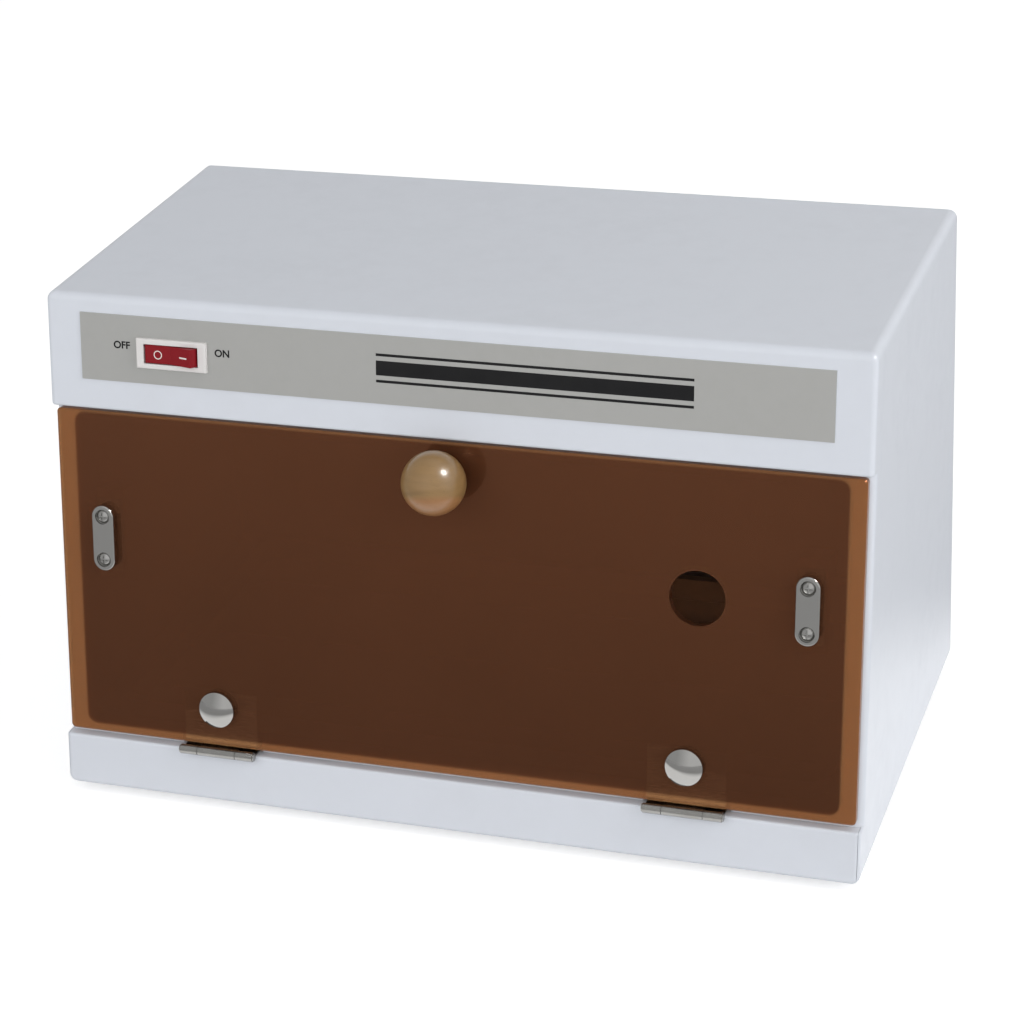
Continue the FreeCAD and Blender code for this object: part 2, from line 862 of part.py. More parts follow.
def door_magnet(side):
    """A magnetic catch on an arm from the chamber's side wall."""
    front = door_back + strike_thickness + magnet_gap
    rear = front + magnet_depth
    body = block(plate_x - magnet_width / 2, plate_x + magnet_width / 2, front, rear,
                 plate_height - magnet_length / 2, plate_height + magnet_length / 2)
    arm_front = rim_recess + opening_flange + sheet
    wall = half_width - sheet
    arm = block(plate_x, wall, arm_front, rear, plate_height - magnet_arm, plate_height + magnet_arm)
    foot = block(wall - 2 * sheet, wall, arm_front, rear + magnet_arm, plate_height - magnet_length / 2,
                 plate_height + magnet_length / 2)
    shape = body.fuse(arm).fuse(foot).removeSplitter()
    if side < 0:
        shape = shape.mirror(point(0, 0, 0), point(1, 0, 0))
    return lean(shape)


def ceiling_panel():
    """The sheet between the chamber and the electrical space, turned up at its sides."""
    half = half_width - sheet - sheet_gap
    front = slope_at(rim_recess + rim_fold + sheet_gap, ceiling_height)[0]
    rear = cabinet_depth - sheet - sheet_gap
    panel = block(-half, half, front, rear, ceiling_height, ceiling_height + sheet)
    lift = slope_at(rim_recess + rim_fold + sheet_gap, ceiling_height + ceiling_flange)[0]
    flange_top = ceiling_height + ceiling_flange
    for x_low, x_high in ((-half, sheet - half), (half - sheet, half)):
        panel = panel.fuse(block(x_low, x_high, lift, rear, ceiling_height, flange_top))
    slot_x = holder_clip_length / 2 + holder_clip_room
    slot_y = holder_clip_width / 2 + holder_clip_room
    for side in (-1, 1):
        x = side * (lamp_length / 2 + holder_gap + holder_thickness / 2)
        slot = block(x - slot_x, x + slot_x, lamp_y - slot_y, lamp_y + slot_y,
                     ceiling_height - overrun, ceiling_height + overrun)
        panel = panel.cut(slot)
    for x in ballast_screw_spots():
        radius = ballast_screw_radius + thread_clearance
        panel = panel.cut(upright_hole(radius, x, ballast_y, ceiling_height))
    return panel.removeSplitter()


def lamp_reflector():
    """The folded trough above the tube."""
    top = ceiling_height
    half_flat = reflector_flat / 2
    half_mouth = reflector_mouth / 2
    low = top - reflector_drop
    thick = reflector_sheet
    outline = [
        (lamp_y - half_mouth, low), (lamp_y - half_flat, top), (lamp_y + half_flat, top),
        (lamp_y + half_mouth, low), (lamp_y + half_mouth - thick, low),
        (lamp_y + half_flat - thick / 2, top - thick), (lamp_y - half_flat + thick / 2, top - thick),
        (lamp_y - half_mouth + thick, low),
    ]
    half = lamp_length / 2 - reflector_end_gap
    return prism_x(outline, -half, half)


def lamp_tube():
    """The glass of the tube, closed inside its caps."""
    end = lamp_length / 2 - lamp_cap / 2
    return disc(lamp_radius, -end, lamp_y, lamp_z, 2 * end, point(1, 0, 0))


def lamp_end_cap(side):
    """A metal end cap with its two pins."""
    outer = lamp_length / 2
    along = point(1, 0, 0)
    cap = disc(lamp_radius + lamp_cap_wall, outer - lamp_cap, lamp_y, lamp_z, lamp_cap, along)
    cap = cap.cut(disc(lamp_radius + thread_clearance, 0, lamp_y, lamp_z, outer - lamp_cap / 2, along))
    for shift in (-lamp_pin_spread / 2, lamp_pin_spread / 2):
        reach = lamp_pin_length + sheet
        cap = cap.fuse(disc(lamp_pin_radius, outer - sheet, lamp_y + shift, lamp_z, reach, along))
    if side < 0:
        cap = cap.mirror(point(0, 0, 0), point(1, 0, 0))
    return cap


def lamp_holder(side):
    """A holder that hangs from the ceiling panel, slotted for the tube's pins."""
    inner = lamp_length / 2 + holder_gap
    outer = inner + holder_thickness
    half = holder_width / 2
    body = block(inner, outer, lamp_y - half, lamp_y + half, lamp_z, ceiling_height)
    body = body.fuse(disc(half, inner, lamp_y, lamp_z, holder_thickness, point(1, 0, 0)))
    middle = inner + holder_thickness / 2
    clip = block(middle - holder_clip_length / 2, middle + holder_clip_length / 2,
                 lamp_y - holder_clip_width / 2, lamp_y + holder_clip_width / 2,
                 ceiling_height - sheet, ceiling_height + 3 * sheet)
    body = body.fuse(clip).removeSplitter()
    slot = lamp_pin_radius + hole_clearance
    reach = lamp_pin_spread / 2 + slot
    body = body.cut(block(inner - overrun, inner + holder_pocket, lamp_y - reach, lamp_y + reach,
                          lamp_z - slot, lamp_z + slot))
    body = body.cut(block(inner - overrun, inner + holder_pocket, lamp_y - slot, lamp_y + slot,
                          lamp_z - holder_width, lamp_z))
    if side < 0:
        body = body.mirror(point(0, 0, 0), point(1, 0, 0))
    return body


def ballast_screw_spots():
    """X of the two ballast screws."""
    reach = (ballast_foot + ballast_length) / 4
    return (ballast_x - reach, ballast_x + reach)


def ballast():
    """A core with its winding, on a foot plate."""
    low = ceiling_height + sheet
    top = low + ballast_height

    def centred(length, width, z_low, z_high):
        return block(ballast_x - length / 2, ballast_x + length / 2,
                     ballast_y - width / 2, ballast_y + width / 2, z_low, z_high)

    foot = centred(ballast_foot, ballast_width, low, low + ballast_foot_thickness)
    core = centred(ballast_length, ballast_width, low, top)
    wound = ballast_length + 2 * ballast_winding_reach
    winding = centred(wound, ballast_width * 2 / 3, low + ballast_winding_drop, top - ballast_winding_drop)
    shape = foot.fuse(core).fuse(winding).removeSplitter()
    for x in ballast_screw_spots():
        shape = shape.cut(upright_hole(ballast_screw_radius + hole_clearance, x, ballast_y, low))
    return shape


def starter_base():
    """The round base that the starter twists into."""
    low = ceiling_height + sheet
    base = disc(starter_base_radius, starter_x, starter_y, low, starter_base_height, point(0, 0, 1))
    floor = low + starter_base_height - starter_sink
    well = starter_radius + hole_clearance
    return base.cut(disc(well, starter_x, starter_y, floor, starter_base_height, point(0, 0, 1)))


def starter():
    """The starter can, round-topped, seated in its base."""
    low = ceiling_height + sheet + starter_base_height - starter_sink
    can = disc(starter_radius, starter_x, starter_y, low, starter_height, point(0, 0, 1))
    rim = [edge for edge in can.Edges if edge.BoundBox.ZMin > low + starter_height - 0.001]
    return can.makeFillet(starter_round, rim)


def terminal_block():
    """A strip of screw terminals."""
    low = ceiling_height + sheet
    length = terminal_poles * terminal_pitch
    start = terminal_x - length / 2
    top = low + terminal_height
    front = terminal_y - terminal_depth / 2
    rear = terminal_y + terminal_depth / 2
    strip = block(start, start + length, front, rear, low, top)
    for pole in range(terminal_poles):
        x = start + (pole + 0.5) * terminal_pitch
        for y in (terminal_y - terminal_depth / 4, terminal_y + terminal_depth / 4):
            hole = disc(terminal_hole, x, y, top - terminal_height / 2, terminal_height, point(0, 0, 1))
            strip = strip.cut(hole)
        if pole:
            seam = start + pole * terminal_pitch
            half = terminal_seam / 2
            groove = block(seam - half, seam + half, front, rear, top - terminal_seam_depth, top)
            strip = strip.cut(groove)
    return strip


def tray_form(grow, z_low, z_high):
    """A round-cornered slab on the tray's outline, grown or shrunk all round."""
    x_half = tray_half + grow
    front = tray_front - grow
    rear = tray_rear + grow
    slab = block(-x_half, x_half, front, rear, z_low, z_high)
    middle = (z_low + z_high) / 2
    corners = [point(x, y, middle) for x in (-x_half, x_half) for y in (front, rear)]
    return fillet_at(slab, tray_corner + grow, corners)


def tray():
    """A pressed steel tray with a turned-out rim and rows of slots."""
    low = floor_z
    x_half = tray_half
    middle = (tray_front + tray_rear) / 2
    top = low + tray_height
    outer = tray_form(0, low, top)
    inner = tray_form(-tray_sheet, low + tray_sheet, top + tray_height)
    rim = tray_form(tray_rim, top - tray_sheet, top)
    shape = outer.fuse(rim).cut(inner)
    column_pitch = 2 * x_half / tray_slot_columns
    row_pitch = (tray_rear - tray_front) / tray_slot_rows
    for column in range(tray_slot_columns):
        for row in range(tray_slot_rows):
            x = (column + 0.5) * column_pitch - x_half
            y = middle + (row - (tray_slot_rows - 1) / 2) * row_pitch
            slot = flat_capsule(x, y, tray_slot_length, tray_slot_width, low, low + tray_sheet)
            shape = shape.cut(slot)
    return shape


def panel_screw_spots():
    """Centres of the screws round the back panel."""
    x = half_width - rear_flange / 2
    low = 3 * rear_flange
    high = cabinet_height - rear_flange / 2
    spots = []
    for z in (low, (low + high) / 2, high):
        spots.append((-x, z))
        spots.append((x, z))
    spots.append((0, high))
    return spots


def back_panel():
    """The flat rear sheet with its vents and the inlet's cut-out."""
    half = half_width - panel_margin
    top = cabinet_height - panel_margin
    inside = cabinet_depth
    panel = rounded_slab(half, panel_margin, top, panel_corner, inside, rear_face)
    for slot in range(vent_slots):
        x = vent_x + (slot - (vent_slots - 1) / 2) * vent_pitch
        panel = panel.cut(capsule(x, vent_height, vent_length, vent_width, inside, rear_face))
    x_half = inlet_body_width / 2 + sheet_gap
    z_half = inlet_body_height / 2 + sheet_gap
    panel = panel.cut(block(inlet_x - x_half, inlet_x + x_half, inside, rear_face,
                            inlet_height - z_half, inlet_height + z_half))
    for x, z in panel_screw_spots():
        panel = panel.cut(hole_through(panel_screw_radius + hole_clearance, x, z, inside, rear_face))
    for side in (-1, 1):
        x = inlet_x + side * inlet_screw_spread
        radius = panel_screw_radius + thread_clearance
        panel = panel.cut(hole_through(radius, x, inlet_height, inside, rear_face))
    return panel


def panel_screws():
    """The domed screws of the back panel."""
    screws = []
    for x, z in panel_screw_spots():
        screw = dome_screw(panel_screw_radius, panel_screw_length, panel_screw_head, panel_screw_dome)
        screw.rotate(point(0, 0, 0), point(0, 0, 1), 180)
        screws.append(moved(screw, x, rear_face, z))
    return group(screws)


def power_inlet():
    """The appliance inlet with its socket well and three pins."""
    seat = rear_face
    x_half = inlet_flange_width / 2
    z_half = inlet_flange_height / 2
    flange = block(-x_half, x_half, seat, seat + inlet_flange, -z_half, z_half)
    uprights = [point(x, seat + inlet_flange / 2, z) for x in (-x_half, x_half) for z in (-z_half, z_half)]
    flange = fillet_at(flange, inlet_corner, uprights)
    body_x = inlet_body_width / 2
    body_z = inlet_body_height / 2
    body = block(-body_x, body_x, seat - inlet_body_depth, seat, -body_z, body_z)
    shape = flange.fuse(body)
    well_x = body_x - inlet_wall
    well_z = body_z - inlet_wall
    body_end = seat - inlet_body_depth
    well_floor = body_end + inlet_floor
    well = block(-well_x, well_x, well_floor, seat + 2 * inlet_flange, -well_z, well_z)
    uprights = [point(x, (well_floor + seat + 2 * inlet_flange) / 2, well_z) for x in (-well_x, well_x)]
    well = fillet_at(well, inlet_well_corner, uprights)
    shape = shape.cut(well)
    across = inlet_pin_width / 2
    up = inlet_pin_height / 2
    spots = ((-inlet_pin_pitch, -inlet_pin_low), (0, inlet_earth_lift), (inlet_pin_pitch, -inlet_pin_low))
    for x, z in spots:
        pin_end = well_floor + inlet_pin_length
        pin = block(x - across, x + across, well_floor - sheet, pin_end, z - up, z + up)
        tab = block(x - tab_thickness / 2, x + tab_thickness / 2, body_end - tab_length, body_end + sheet,
                    z - tab_width / 2, z + tab_width / 2)
        shape = shape.fuse(pin).fuse(tab)
    face = seat + inlet_flange
    for side in (-1, 1):
        x = side * inlet_screw_spread
        shape = shape.cut(hole_through(panel_screw_radius + hole_clearance, x, 0, seat, face))
        sunk = hole_through(panel_screw_head + hole_clearance, x, 0, face - panel_screw_dome, face)
        shape = shape.cut(sunk)
    return moved(shape, inlet_x, 0, inlet_height)


def inlet_screws():
    """The two screws of the inlet, sunk in its flange."""
    screws = []
    seat = rear_face + inlet_flange - panel_screw_dome
    for side in (-1, 1):
        screw = dome_screw(panel_screw_radius, inlet_screw_length, panel_screw_head, panel_screw_dome)
        screw.rotate(point(0, 0, 0), point(0, 0, 1), 180)
        screws.append(moved(screw, inlet_x + side * inlet_screw_spread, seat, inlet_height))
    return group(screws)


def hinge_screws():
    """The screws of the two fixed leaves."""
    screws = []
    for x, y in hinge_screw_spots():
        screw = dome_screw(hinge_screw_radius, hinge_screw_length, hinge_screw_head, hinge_screw_dome)
        screw.rotate(point(0, 0, 0), point(1, 0, 0), -90)
        screws.append(moved(screw, x, y, floor_z + leaf))
    return group(screws)


def ballast_screws():
    """The two screws of the ballast."""
    screws = []
    for x in ballast_screw_spots():
        length = ballast_foot_thickness + sheet
        screw = dome_screw(ballast_screw_radius, length, ballast_screw_head, ballast_screw_dome)
        screw.rotate(point(0, 0, 0), point(1, 0, 0), -90)
        screws.append(moved(screw, x, ballast_y, ceiling_height + sheet + ballast_foot_thickness))
    return group(screws)


def rubber_foot(x, y):
    """A tapered foot with a sunk hole for its screw, under the bottom plate."""
    up = point(0, 0, 1)
    base = point(x, y, -foot_height)
    foot = Part.makeCone(foot_radius - foot_taper, foot_radius, foot_height + sheet, base, up)
    shank = foot_screw_radius + hole_clearance
    head = foot_screw_head + hole_clearance
    foot = foot.cut(disc(shank, x, y, -foot_height, foot_height + sheet, up))
    return foot.cut(disc(head, x, y, -foot_height, foot_screw_sink, up))


def foot_screws():
    """The screws that hold the feet, with a nut on each above the bottom plate."""
    screws = []
    grip = foot_height - foot_screw_sink + bottom_plate_top
    for x, y in foot_spots():
        screw = dome_screw(foot_screw_radius, grip + foot_screw_end, foot_screw_head, foot_screw_dome)
        screw.rotate(point(0, 0, 0), point(1, 0, 0), 90)
        nut = disc(foot_nut_radius, 0, 0, grip, foot_nut_height, point(0, 0, 1))
        screws.append(moved(screw.fuse(nut), x, y, foot_screw_sink - foot_height))
    return group(screws)


def all_pieces():
    """Every node with its shape, in the drawing frame."""
    pieces = {
        "outer_cover": outer_cover(),
        "door_sill": door_sill(),
        "plinth": plinth(),
        "bottom_plate": bottom_plate(),
        "back_panel": back_panel(),
        "panel_screws": panel_screws(),
        "fascia_plate": fascia_plate(),
        "switch_housing": switch_housing(),
        "switch_rocker": switch_rocker(),
        "door_panel": door_panel(),
        "door_knob": door_knob(),
        "knob_washer": knob_washer(),
        "knob_screw": knob_screw(),
        "hinge_screws": hinge_screws(),
        "ceiling_panel": ceiling_panel(),
        "lamp_reflector": lamp_reflector(),
        "lamp_tube": lamp_tube(),
        "ballast": ballast(),
        "ballast_screws": ballast_screws(),
        "starter_base": starter_base(),
        "starter": starter(),
        "terminal_block": terminal_block(),
        "tray": tray(),
        "power_inlet": power_inlet(),
        "inlet_screws": inlet_screws(),
        "foot_screws": foot_screws(),
    }
    for side, word in ((-1, "left"), (1, "right")):
        pieces["hinge_fixed_leaf_" + word] = hinge_fixed_leaf(side)
        pieces["hinge_door_leaf_" + word] = hinge_door_leaf(side)
        pieces["hinge_pin_" + word] = hinge_pin(side)
        pieces["hinge_bolt_" + word] = hinge_bolt(side)
        pieces["hinge_nut_" + word] = hinge_nut(side)
        pieces["catch_plate_" + word] = catch_plate(side)
        pieces["catch_screws_" + word] = catch_screws(side)
        pieces["strike_plate_" + word] = strike_plate(side)
        pieces["door_magnet_" + word] = door_magnet(side)
        pieces["lamp_cap_" + word] = lamp_end_cap(side)
        pieces["lamp_holder_" + word] = lamp_holder(side)
    for number, (x, y) in enumerate(foot_spots(), start=1):
        pieces["rubber_foot_" + str(number)] = rubber_foot(x, y)
    return pieces


def main():
    os.makedirs("parts", exist_ok=True)
    for name, shape in all_pieces().items():
        placed(shape).exportStep("parts/" + name + ".step")
        print(name, len(shape.Solids), round(shape.Volume))


main()
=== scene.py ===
"""Looks of a bench sterilizer cabinet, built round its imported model.

Each sub-assembly is a class with its sizes in metres as fields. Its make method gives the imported
nodes the finishes of their slots, and its build method adds the small pieces that the solids
leave out. Every place is in the row frame: X to the right, Y to the back, Z up.
"""

from __future__ import annotations

import json
import logging
import math
from dataclasses import dataclass, field
from enum import Enum
from typing import Sequence

import bmesh
import bpy
from mathutils import Matrix, Vector
from mathutils.bvhtree import BVHTree


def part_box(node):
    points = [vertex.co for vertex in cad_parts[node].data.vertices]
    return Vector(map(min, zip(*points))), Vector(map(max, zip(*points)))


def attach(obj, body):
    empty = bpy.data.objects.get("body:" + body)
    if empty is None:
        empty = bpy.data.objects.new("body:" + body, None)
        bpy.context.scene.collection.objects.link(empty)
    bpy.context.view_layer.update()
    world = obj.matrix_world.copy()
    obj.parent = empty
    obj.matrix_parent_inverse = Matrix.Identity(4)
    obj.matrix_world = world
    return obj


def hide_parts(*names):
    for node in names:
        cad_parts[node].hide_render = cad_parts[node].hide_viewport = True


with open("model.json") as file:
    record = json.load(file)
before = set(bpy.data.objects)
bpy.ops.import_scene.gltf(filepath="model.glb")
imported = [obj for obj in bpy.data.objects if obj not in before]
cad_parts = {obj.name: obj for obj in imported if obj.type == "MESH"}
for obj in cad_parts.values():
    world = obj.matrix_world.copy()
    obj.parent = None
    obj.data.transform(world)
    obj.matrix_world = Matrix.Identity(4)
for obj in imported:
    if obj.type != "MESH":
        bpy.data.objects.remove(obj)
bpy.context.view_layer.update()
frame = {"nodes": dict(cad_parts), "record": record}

log = logging.getLogger("sterilizer_cabinet")

Colour = tuple[float, float, float]
Pair = tuple[float, float]
Triple = tuple[float, float, float]
Names = tuple[str, ...]
Inputs = dict[str | int, object]
Shape = bmesh.types.BMesh
Socket = bpy.types.NodeSocket
Sockets = bpy.types.bpy_prop_collection
Tree = bpy.types.NodeTree

WHITE: Colour = (1.0, 1.0, 1.0)
# The front leans back by 39 mm over a height of 234 mm.
LEAN = math.atan2(39.0, 234.0)
# Points closer than this are one point.
WELD = 1e-7
UP = Vector((0.0, 0.0, 1.0))


class Body(Enum):
    """The bodies that the small pieces ride on."""

    CABINET = "cabinet"
    ROCKER = "rocker"


class Grain(Enum):
    """The direction that rolled or brushed metal runs in, as its lines' scale on each axis."""

    ALONG_X = (1.0, 40.0, 40.0)
    ALONG_Y = (40.0, 1.0, 40.0)
    ALONG_Z = (40.0, 40.0, 1.0)


@dataclass(frozen=True)
class FrontFace:
    """The leaning front as a drawing plane: across, up along the face, and proud of it."""

    lean: float = LEAN
    middle: float = 0.10902108
    lift: float = 0.004

    def spot(self, across: float, rise: float, proud: float = 0.0) -> Vector:
        """The row frame's point for a place on the front.

        Args:
            across: distance to the right of the middle.
            rise: distance up along the face from the lower front edge.
            proud: distance out of the face.

        Returns:
            The point in the row frame.
        """
        sine, cosine = math.sin(self.lean), math.cos(self.lean)
        back = rise * sine - proud * cosine
        up = rise * cosine + proud * sine
        return Vector((across, back - self.middle, up + self.lift))

    def out(self) -> Vector:
        """The direction that points straight out of the front."""
        return Vector((0.0, -math.cos(self.lean), math.sin(self.lean)))

    def up(self) -> Vector:
        """The direction that runs up along the front."""
        return Vector((0.0, math.sin(self.lean), math.cos(self.lean)))

    def turn(self) -> Matrix:
        """Lay a flat drawing on the front, its x to the right and its y up the face."""
        return Matrix((Vector((1, 0, 0)), self.up(), self.out())).transposed().to_4x4()


# Node canvas


@dataclass(frozen=True)
class Noise:
    """A noise texture: its scale, its octaves and how strongly the finer ones show."""

    scale: float | Socket
    detail: float = 2.0
    roughness: float = 0.5


@dataclass(frozen=True)
class Span:
    """A span of values that is read, and what its two ends become."""

    low: float
    high: float
    first: float | Socket = 0.0
    last: float | Socket = 1.0


@dataclass(frozen=True)
class Relief:
    """A bump's strength, and the height of its full step in metres."""

    strength: float
    depth: float


class Canvas:
    """A node tree that is filled in with short calls."""

    def __init__(self, tree: Tree) -> None:
        """Start on the tree of a material, a world or a group."""
        self.tree = tree

    def link(self, source: Socket, target: Socket) -> None:
        """Join an output to an input."""
        self.tree.links.new(source, target)

    def add(self, kind: str, inputs: Inputs | None = None, **settings: object) -> bpy.types.Node:
        """Add a node.

        Args:
            kind: the node's Blender type name.
            inputs: a socket, a colour or a plain value for each input that is set.
            **settings: properties set on the node itself.

        Returns:
            The new node.
        """
        node = self.tree.nodes.new(kind)
        for name, value in settings.items():
            setattr(node, name, value)
        for name, value in (inputs or {}).items():
            socket = node.inputs[name]
            if isinstance(value, Socket):
                self.link(value, socket)
            else:
                socket.default_value = (*value, 1.0) if socket.type == "RGBA" else value
        return node

    def coordinates(self, scale: Triple = (1.0, 1.0, 1.0), turn: Triple = (0.0, 0.0, 0.0),
                    shift: Triple = (0.0, 0.0, 0.0)) -> Socket:
        """Object coordinates through a Mapping node.

        Args:
            scale: the pattern's scale on each axis.
            turn: the pattern's turn in radians.
            shift: the pattern's shift in metres.

        Returns:
            The mapped vector's socket.
        """
        place = self.add("ShaderNodeTexCoord").outputs["Object"]
        return self.add("ShaderNodeMapping", {
            "Vector": place, "Location": shift, "Rotation": turn, "Scale": scale}).outputs[0]

    def axes(self, vector: Socket) -> Sockets:
        """The X, Y and Z sockets of a vector."""
        return self.add("ShaderNodeSeparateXYZ", {0: vector}).outputs

    def noise(self, vector: Socket, kind: Noise) -> Socket:
        """The value of a noise at a vector."""
        return self.add("ShaderNodeTexNoise", {
            "Vector": vector, "Scale": kind.scale, "Detail": kind.detail,
            "Roughness": kind.roughness}).outputs["Fac"]

    def spread(self, value: Socket, span: Span) -> Socket:
        """Map a value over a span, clamped at its ends."""
        return self.add("ShaderNodeMapRange", {
            "Value": value, "From Min": span.low, "From Max": span.high,
            "To Min": span.first, "To Max": span.last}).outputs["Result"]

    def mix(self, factor: Socket, first: object, second: object) -> Socket:
        """Mix two colours, each a socket or a plain colour."""
        return self.add("ShaderNodeMix", {0: factor, 6: first, 7: second},
                        data_type="RGBA").outputs[2]

    def blend(self, factor: Socket, first: object, second: object) -> Socket:
        """Mix two values, each a socket or a plain number."""
        return self.add("ShaderNodeMix", {0: factor, 2: first, 3: second},
                        data_type="FLOAT").outputs[0]

    def math(self, operation: str, first: object, second: object = 0.0) -> Socket:
        """A Math node on sockets or plain numbers."""
        return self.add("ShaderNodeMath", {0: first, 1: second}, operation=operation).outputs[0]

    def bump(self, height: Socket, relief: Relief) -> Socket:
        """Turn a height into a normal."""
        return self.add("ShaderNodeBump", {
            "Height": height, "Strength": relief.strength,
            "Distance": relief.depth}).outputs["Normal"]

    def paths(self) -> tuple[Socket, Socket]:
        """Two masks of light paths: gloss, and what the eye sees straight or through glass."""
        path = self.add("ShaderNodeLightPath").outputs
        seen = self.math("MAXIMUM", path["Is Camera Ray"], path["Is Transmission Ray"])
        return path["Is Glossy Ray"], seen

    def group(self, tree: Tree, **values: object) -> Sockets:
        """Place a shared effect.

        Args:
            tree: the effect's group.
            **values: its inputs, with underscores for the blanks in their names.

        Returns:
            The group's outputs.
        """
        inputs = {name.replace("_", " "): value for name, value in values.items()}
        return self.add("ShaderNodeGroup", inputs, node_tree=tree).outputs


def shade(colour: Colour, share: float) -> Colour:
    """A colour darkened to a share of itself."""
    return tuple(share * value for value in colour)


def stand(name: str, data: bpy.types.ID) -> bpy.types.Object:
    """Put data into the scene as an object.

    Args:
        name: the object's name.
        data: its mesh, curve, light or camera.

    Returns:
        The new object.
    """
    item = bpy.data.objects.new(name, data)
    bpy.context.scene.collection.objects.link(item)
    return item


def as_mesh(shape: Shape, name: str) -> bpy.types.Mesh:
    """Turn a shape into a mesh and free it.

    Args:
        shape: the shape.
        name: the mesh's name.

    Returns:
        The new mesh.
    """
    mesh = bpy.data.meshes.new(name)
    shape.to_mesh(mesh)
    shape.free()
    return mesh


def pour(mesh: bpy.types.Mesh, shape: Shape) -> None:
    """Add a mesh to a shape and delete it."""
    shape.from_mesh(mesh)
    bpy.data.meshes.remove(mesh)


def both_sides(*names: str) -> Names:
    """The names of the left and right nodes of each kind."""
    return tuple(f"{name}_{side}" for name in names for side in ("left", "right"))


# Shared effects


class Effects:
    """Node groups that several finishes share, built once."""

    KINDS = {type(None): "NodeSocketVector", tuple: "NodeSocketColor", float: "NodeSocketFloat"}
    PLAIN = (1.0, 1.0, 1.0, 1.0)
    BROAD_MARKS = Noise(14.0, 4.0, 0.55)
    FINE_MARKS = Noise(90.0, 3.0, 0.6)
    MARKED = Span(0.2, 0.42)
    LINE_NOISE = (6.0, 0.65)
    LINE_SPAN = (0.3, 0.7)
    COARSE_DETAIL = 2.0
    FINE_DETAIL = 3.0
    FINER_BY = 4.0

    def __init__(self) -> None:
        """Build the groups."""
        self.handling = self._handling()
        self.brushing = self._brushing()
        self.grain = self._grain()

    def _open(self, name: str, inputs: Inputs, outputs: Inputs) -> tuple[Canvas, Sockets, Sockets]:
        """Open a new group. A socket is a vector, a colour or a number, as its start value says.

        Args:
            name: the group's name.
            inputs: each input's start value.
            outputs: each output's start value.

        Returns:
            The canvas, the sockets that the group starts from and those that it ends in.
        """
        tree = bpy.data.node_groups.new(name, "ShaderNodeTree")
        for direction, sockets in (("INPUT", inputs), ("OUTPUT", outputs)):
            for label, value in sockets.items():
                socket = tree.interface.new_socket(label, in_out=direction,
                                                   socket_type=self.KINDS[type(value)])
                if value is not None:
                    socket.default_value = value
        canvas = Canvas(tree)
        start, end = canvas.add("NodeGroupInput"), canvas.add("NodeGroupOutput")
        return canvas, start.outputs, end.inputs

    def _handling(self) -> Tree:
        """Faint marks of handling and dust: a colour a little off, a roughness that wanders."""
        canvas, start, end = self._open(
            "handling_marks",
            {"Vector": None, "Colour": self.PLAIN, "Mark Colour": self.PLAIN, "Amount": 0.3,
             "Clean Roughness": 0.3, "Marked Roughness": 0.5},
            {"Colour": self.PLAIN, "Roughness": 0.0})
        broad = canvas.noise(start["Vector"], self.BROAD_MARKS)
        fine = canvas.noise(start["Vector"], self.FINE_MARKS)
        mask = canvas.spread(canvas.math("MULTIPLY", broad, fine), self.MARKED)
        share = canvas.math("MULTIPLY", mask, start["Amount"])
        canvas.link(canvas.mix(share, start["Colour"], start["Mark Colour"]), end["Colour"])
        canvas.link(canvas.blend(mask, start["Clean Roughness"], start["Marked Roughness"]),
                    end["Roughness"])
        return canvas.tree

    def _brushing(self) -> Tree:
        """Fine parallel lines, for rolled and brushed metal."""
        canvas, start, end = self._open(
            "brushed_lines",
            {"Vector": None, "Scale": 60.0, "Low Roughness": 0.2, "High Roughness": 0.4},
            {"Height": 0.0, "Roughness": 0.0})
        lines = canvas.noise(start["Vector"], Noise(start["Scale"], *self.LINE_NOISE))
        canvas.link(lines, end["Height"])
        canvas.link(canvas.spread(lines, Span(*self.LINE_SPAN, start["Low Roughness"],
                                              start["High Roughness"])), end["Roughness"])
        return canvas.tree

    def _grain(self) -> Tree:
        """The fine skin of paint, moulded plastic or rubber."""
        canvas, start, end = self._open(
            "surface_grain", {"Vector": None, "Scale": 600.0, "Fine Share": 0.3}, {"Height": 0.0})
        finer = canvas.math("MULTIPLY", start["Scale"], self.FINER_BY)
        coarse = canvas.noise(start["Vector"], Noise(start["Scale"], self.COARSE_DETAIL))
        fine = canvas.noise(start["Vector"], Noise(finer, self.FINE_DETAIL))
        canvas.link(canvas.blend(start["Fine Share"], coarse, fine), end["Height"])
        return canvas.tree


EFFECTS = Effects()


# Finishes


@dataclass(frozen=True)
class Finish:
    """What all finishes share: a name, and a Principled shader with the inputs that they give."""

    name: str

    def material(self) -> bpy.types.Material:
        """Make the finish's material."""
        material = bpy.data.materials.new(self.name)
        material.use_nodes = True
        material.node_tree.nodes.clear()
        canvas = Canvas(material.node_tree)
        shader = canvas.add("ShaderNodeBsdfPrincipled", self.inputs(canvas))
        canvas.add("ShaderNodeOutputMaterial", {"Surface": shader.outputs["BSDF"]})
        return material

    def inputs(self, canvas: Canvas) -> Inputs:
        """The shader's inputs: plain values, or sockets of nodes that are added here."""
        raise NotImplementedError


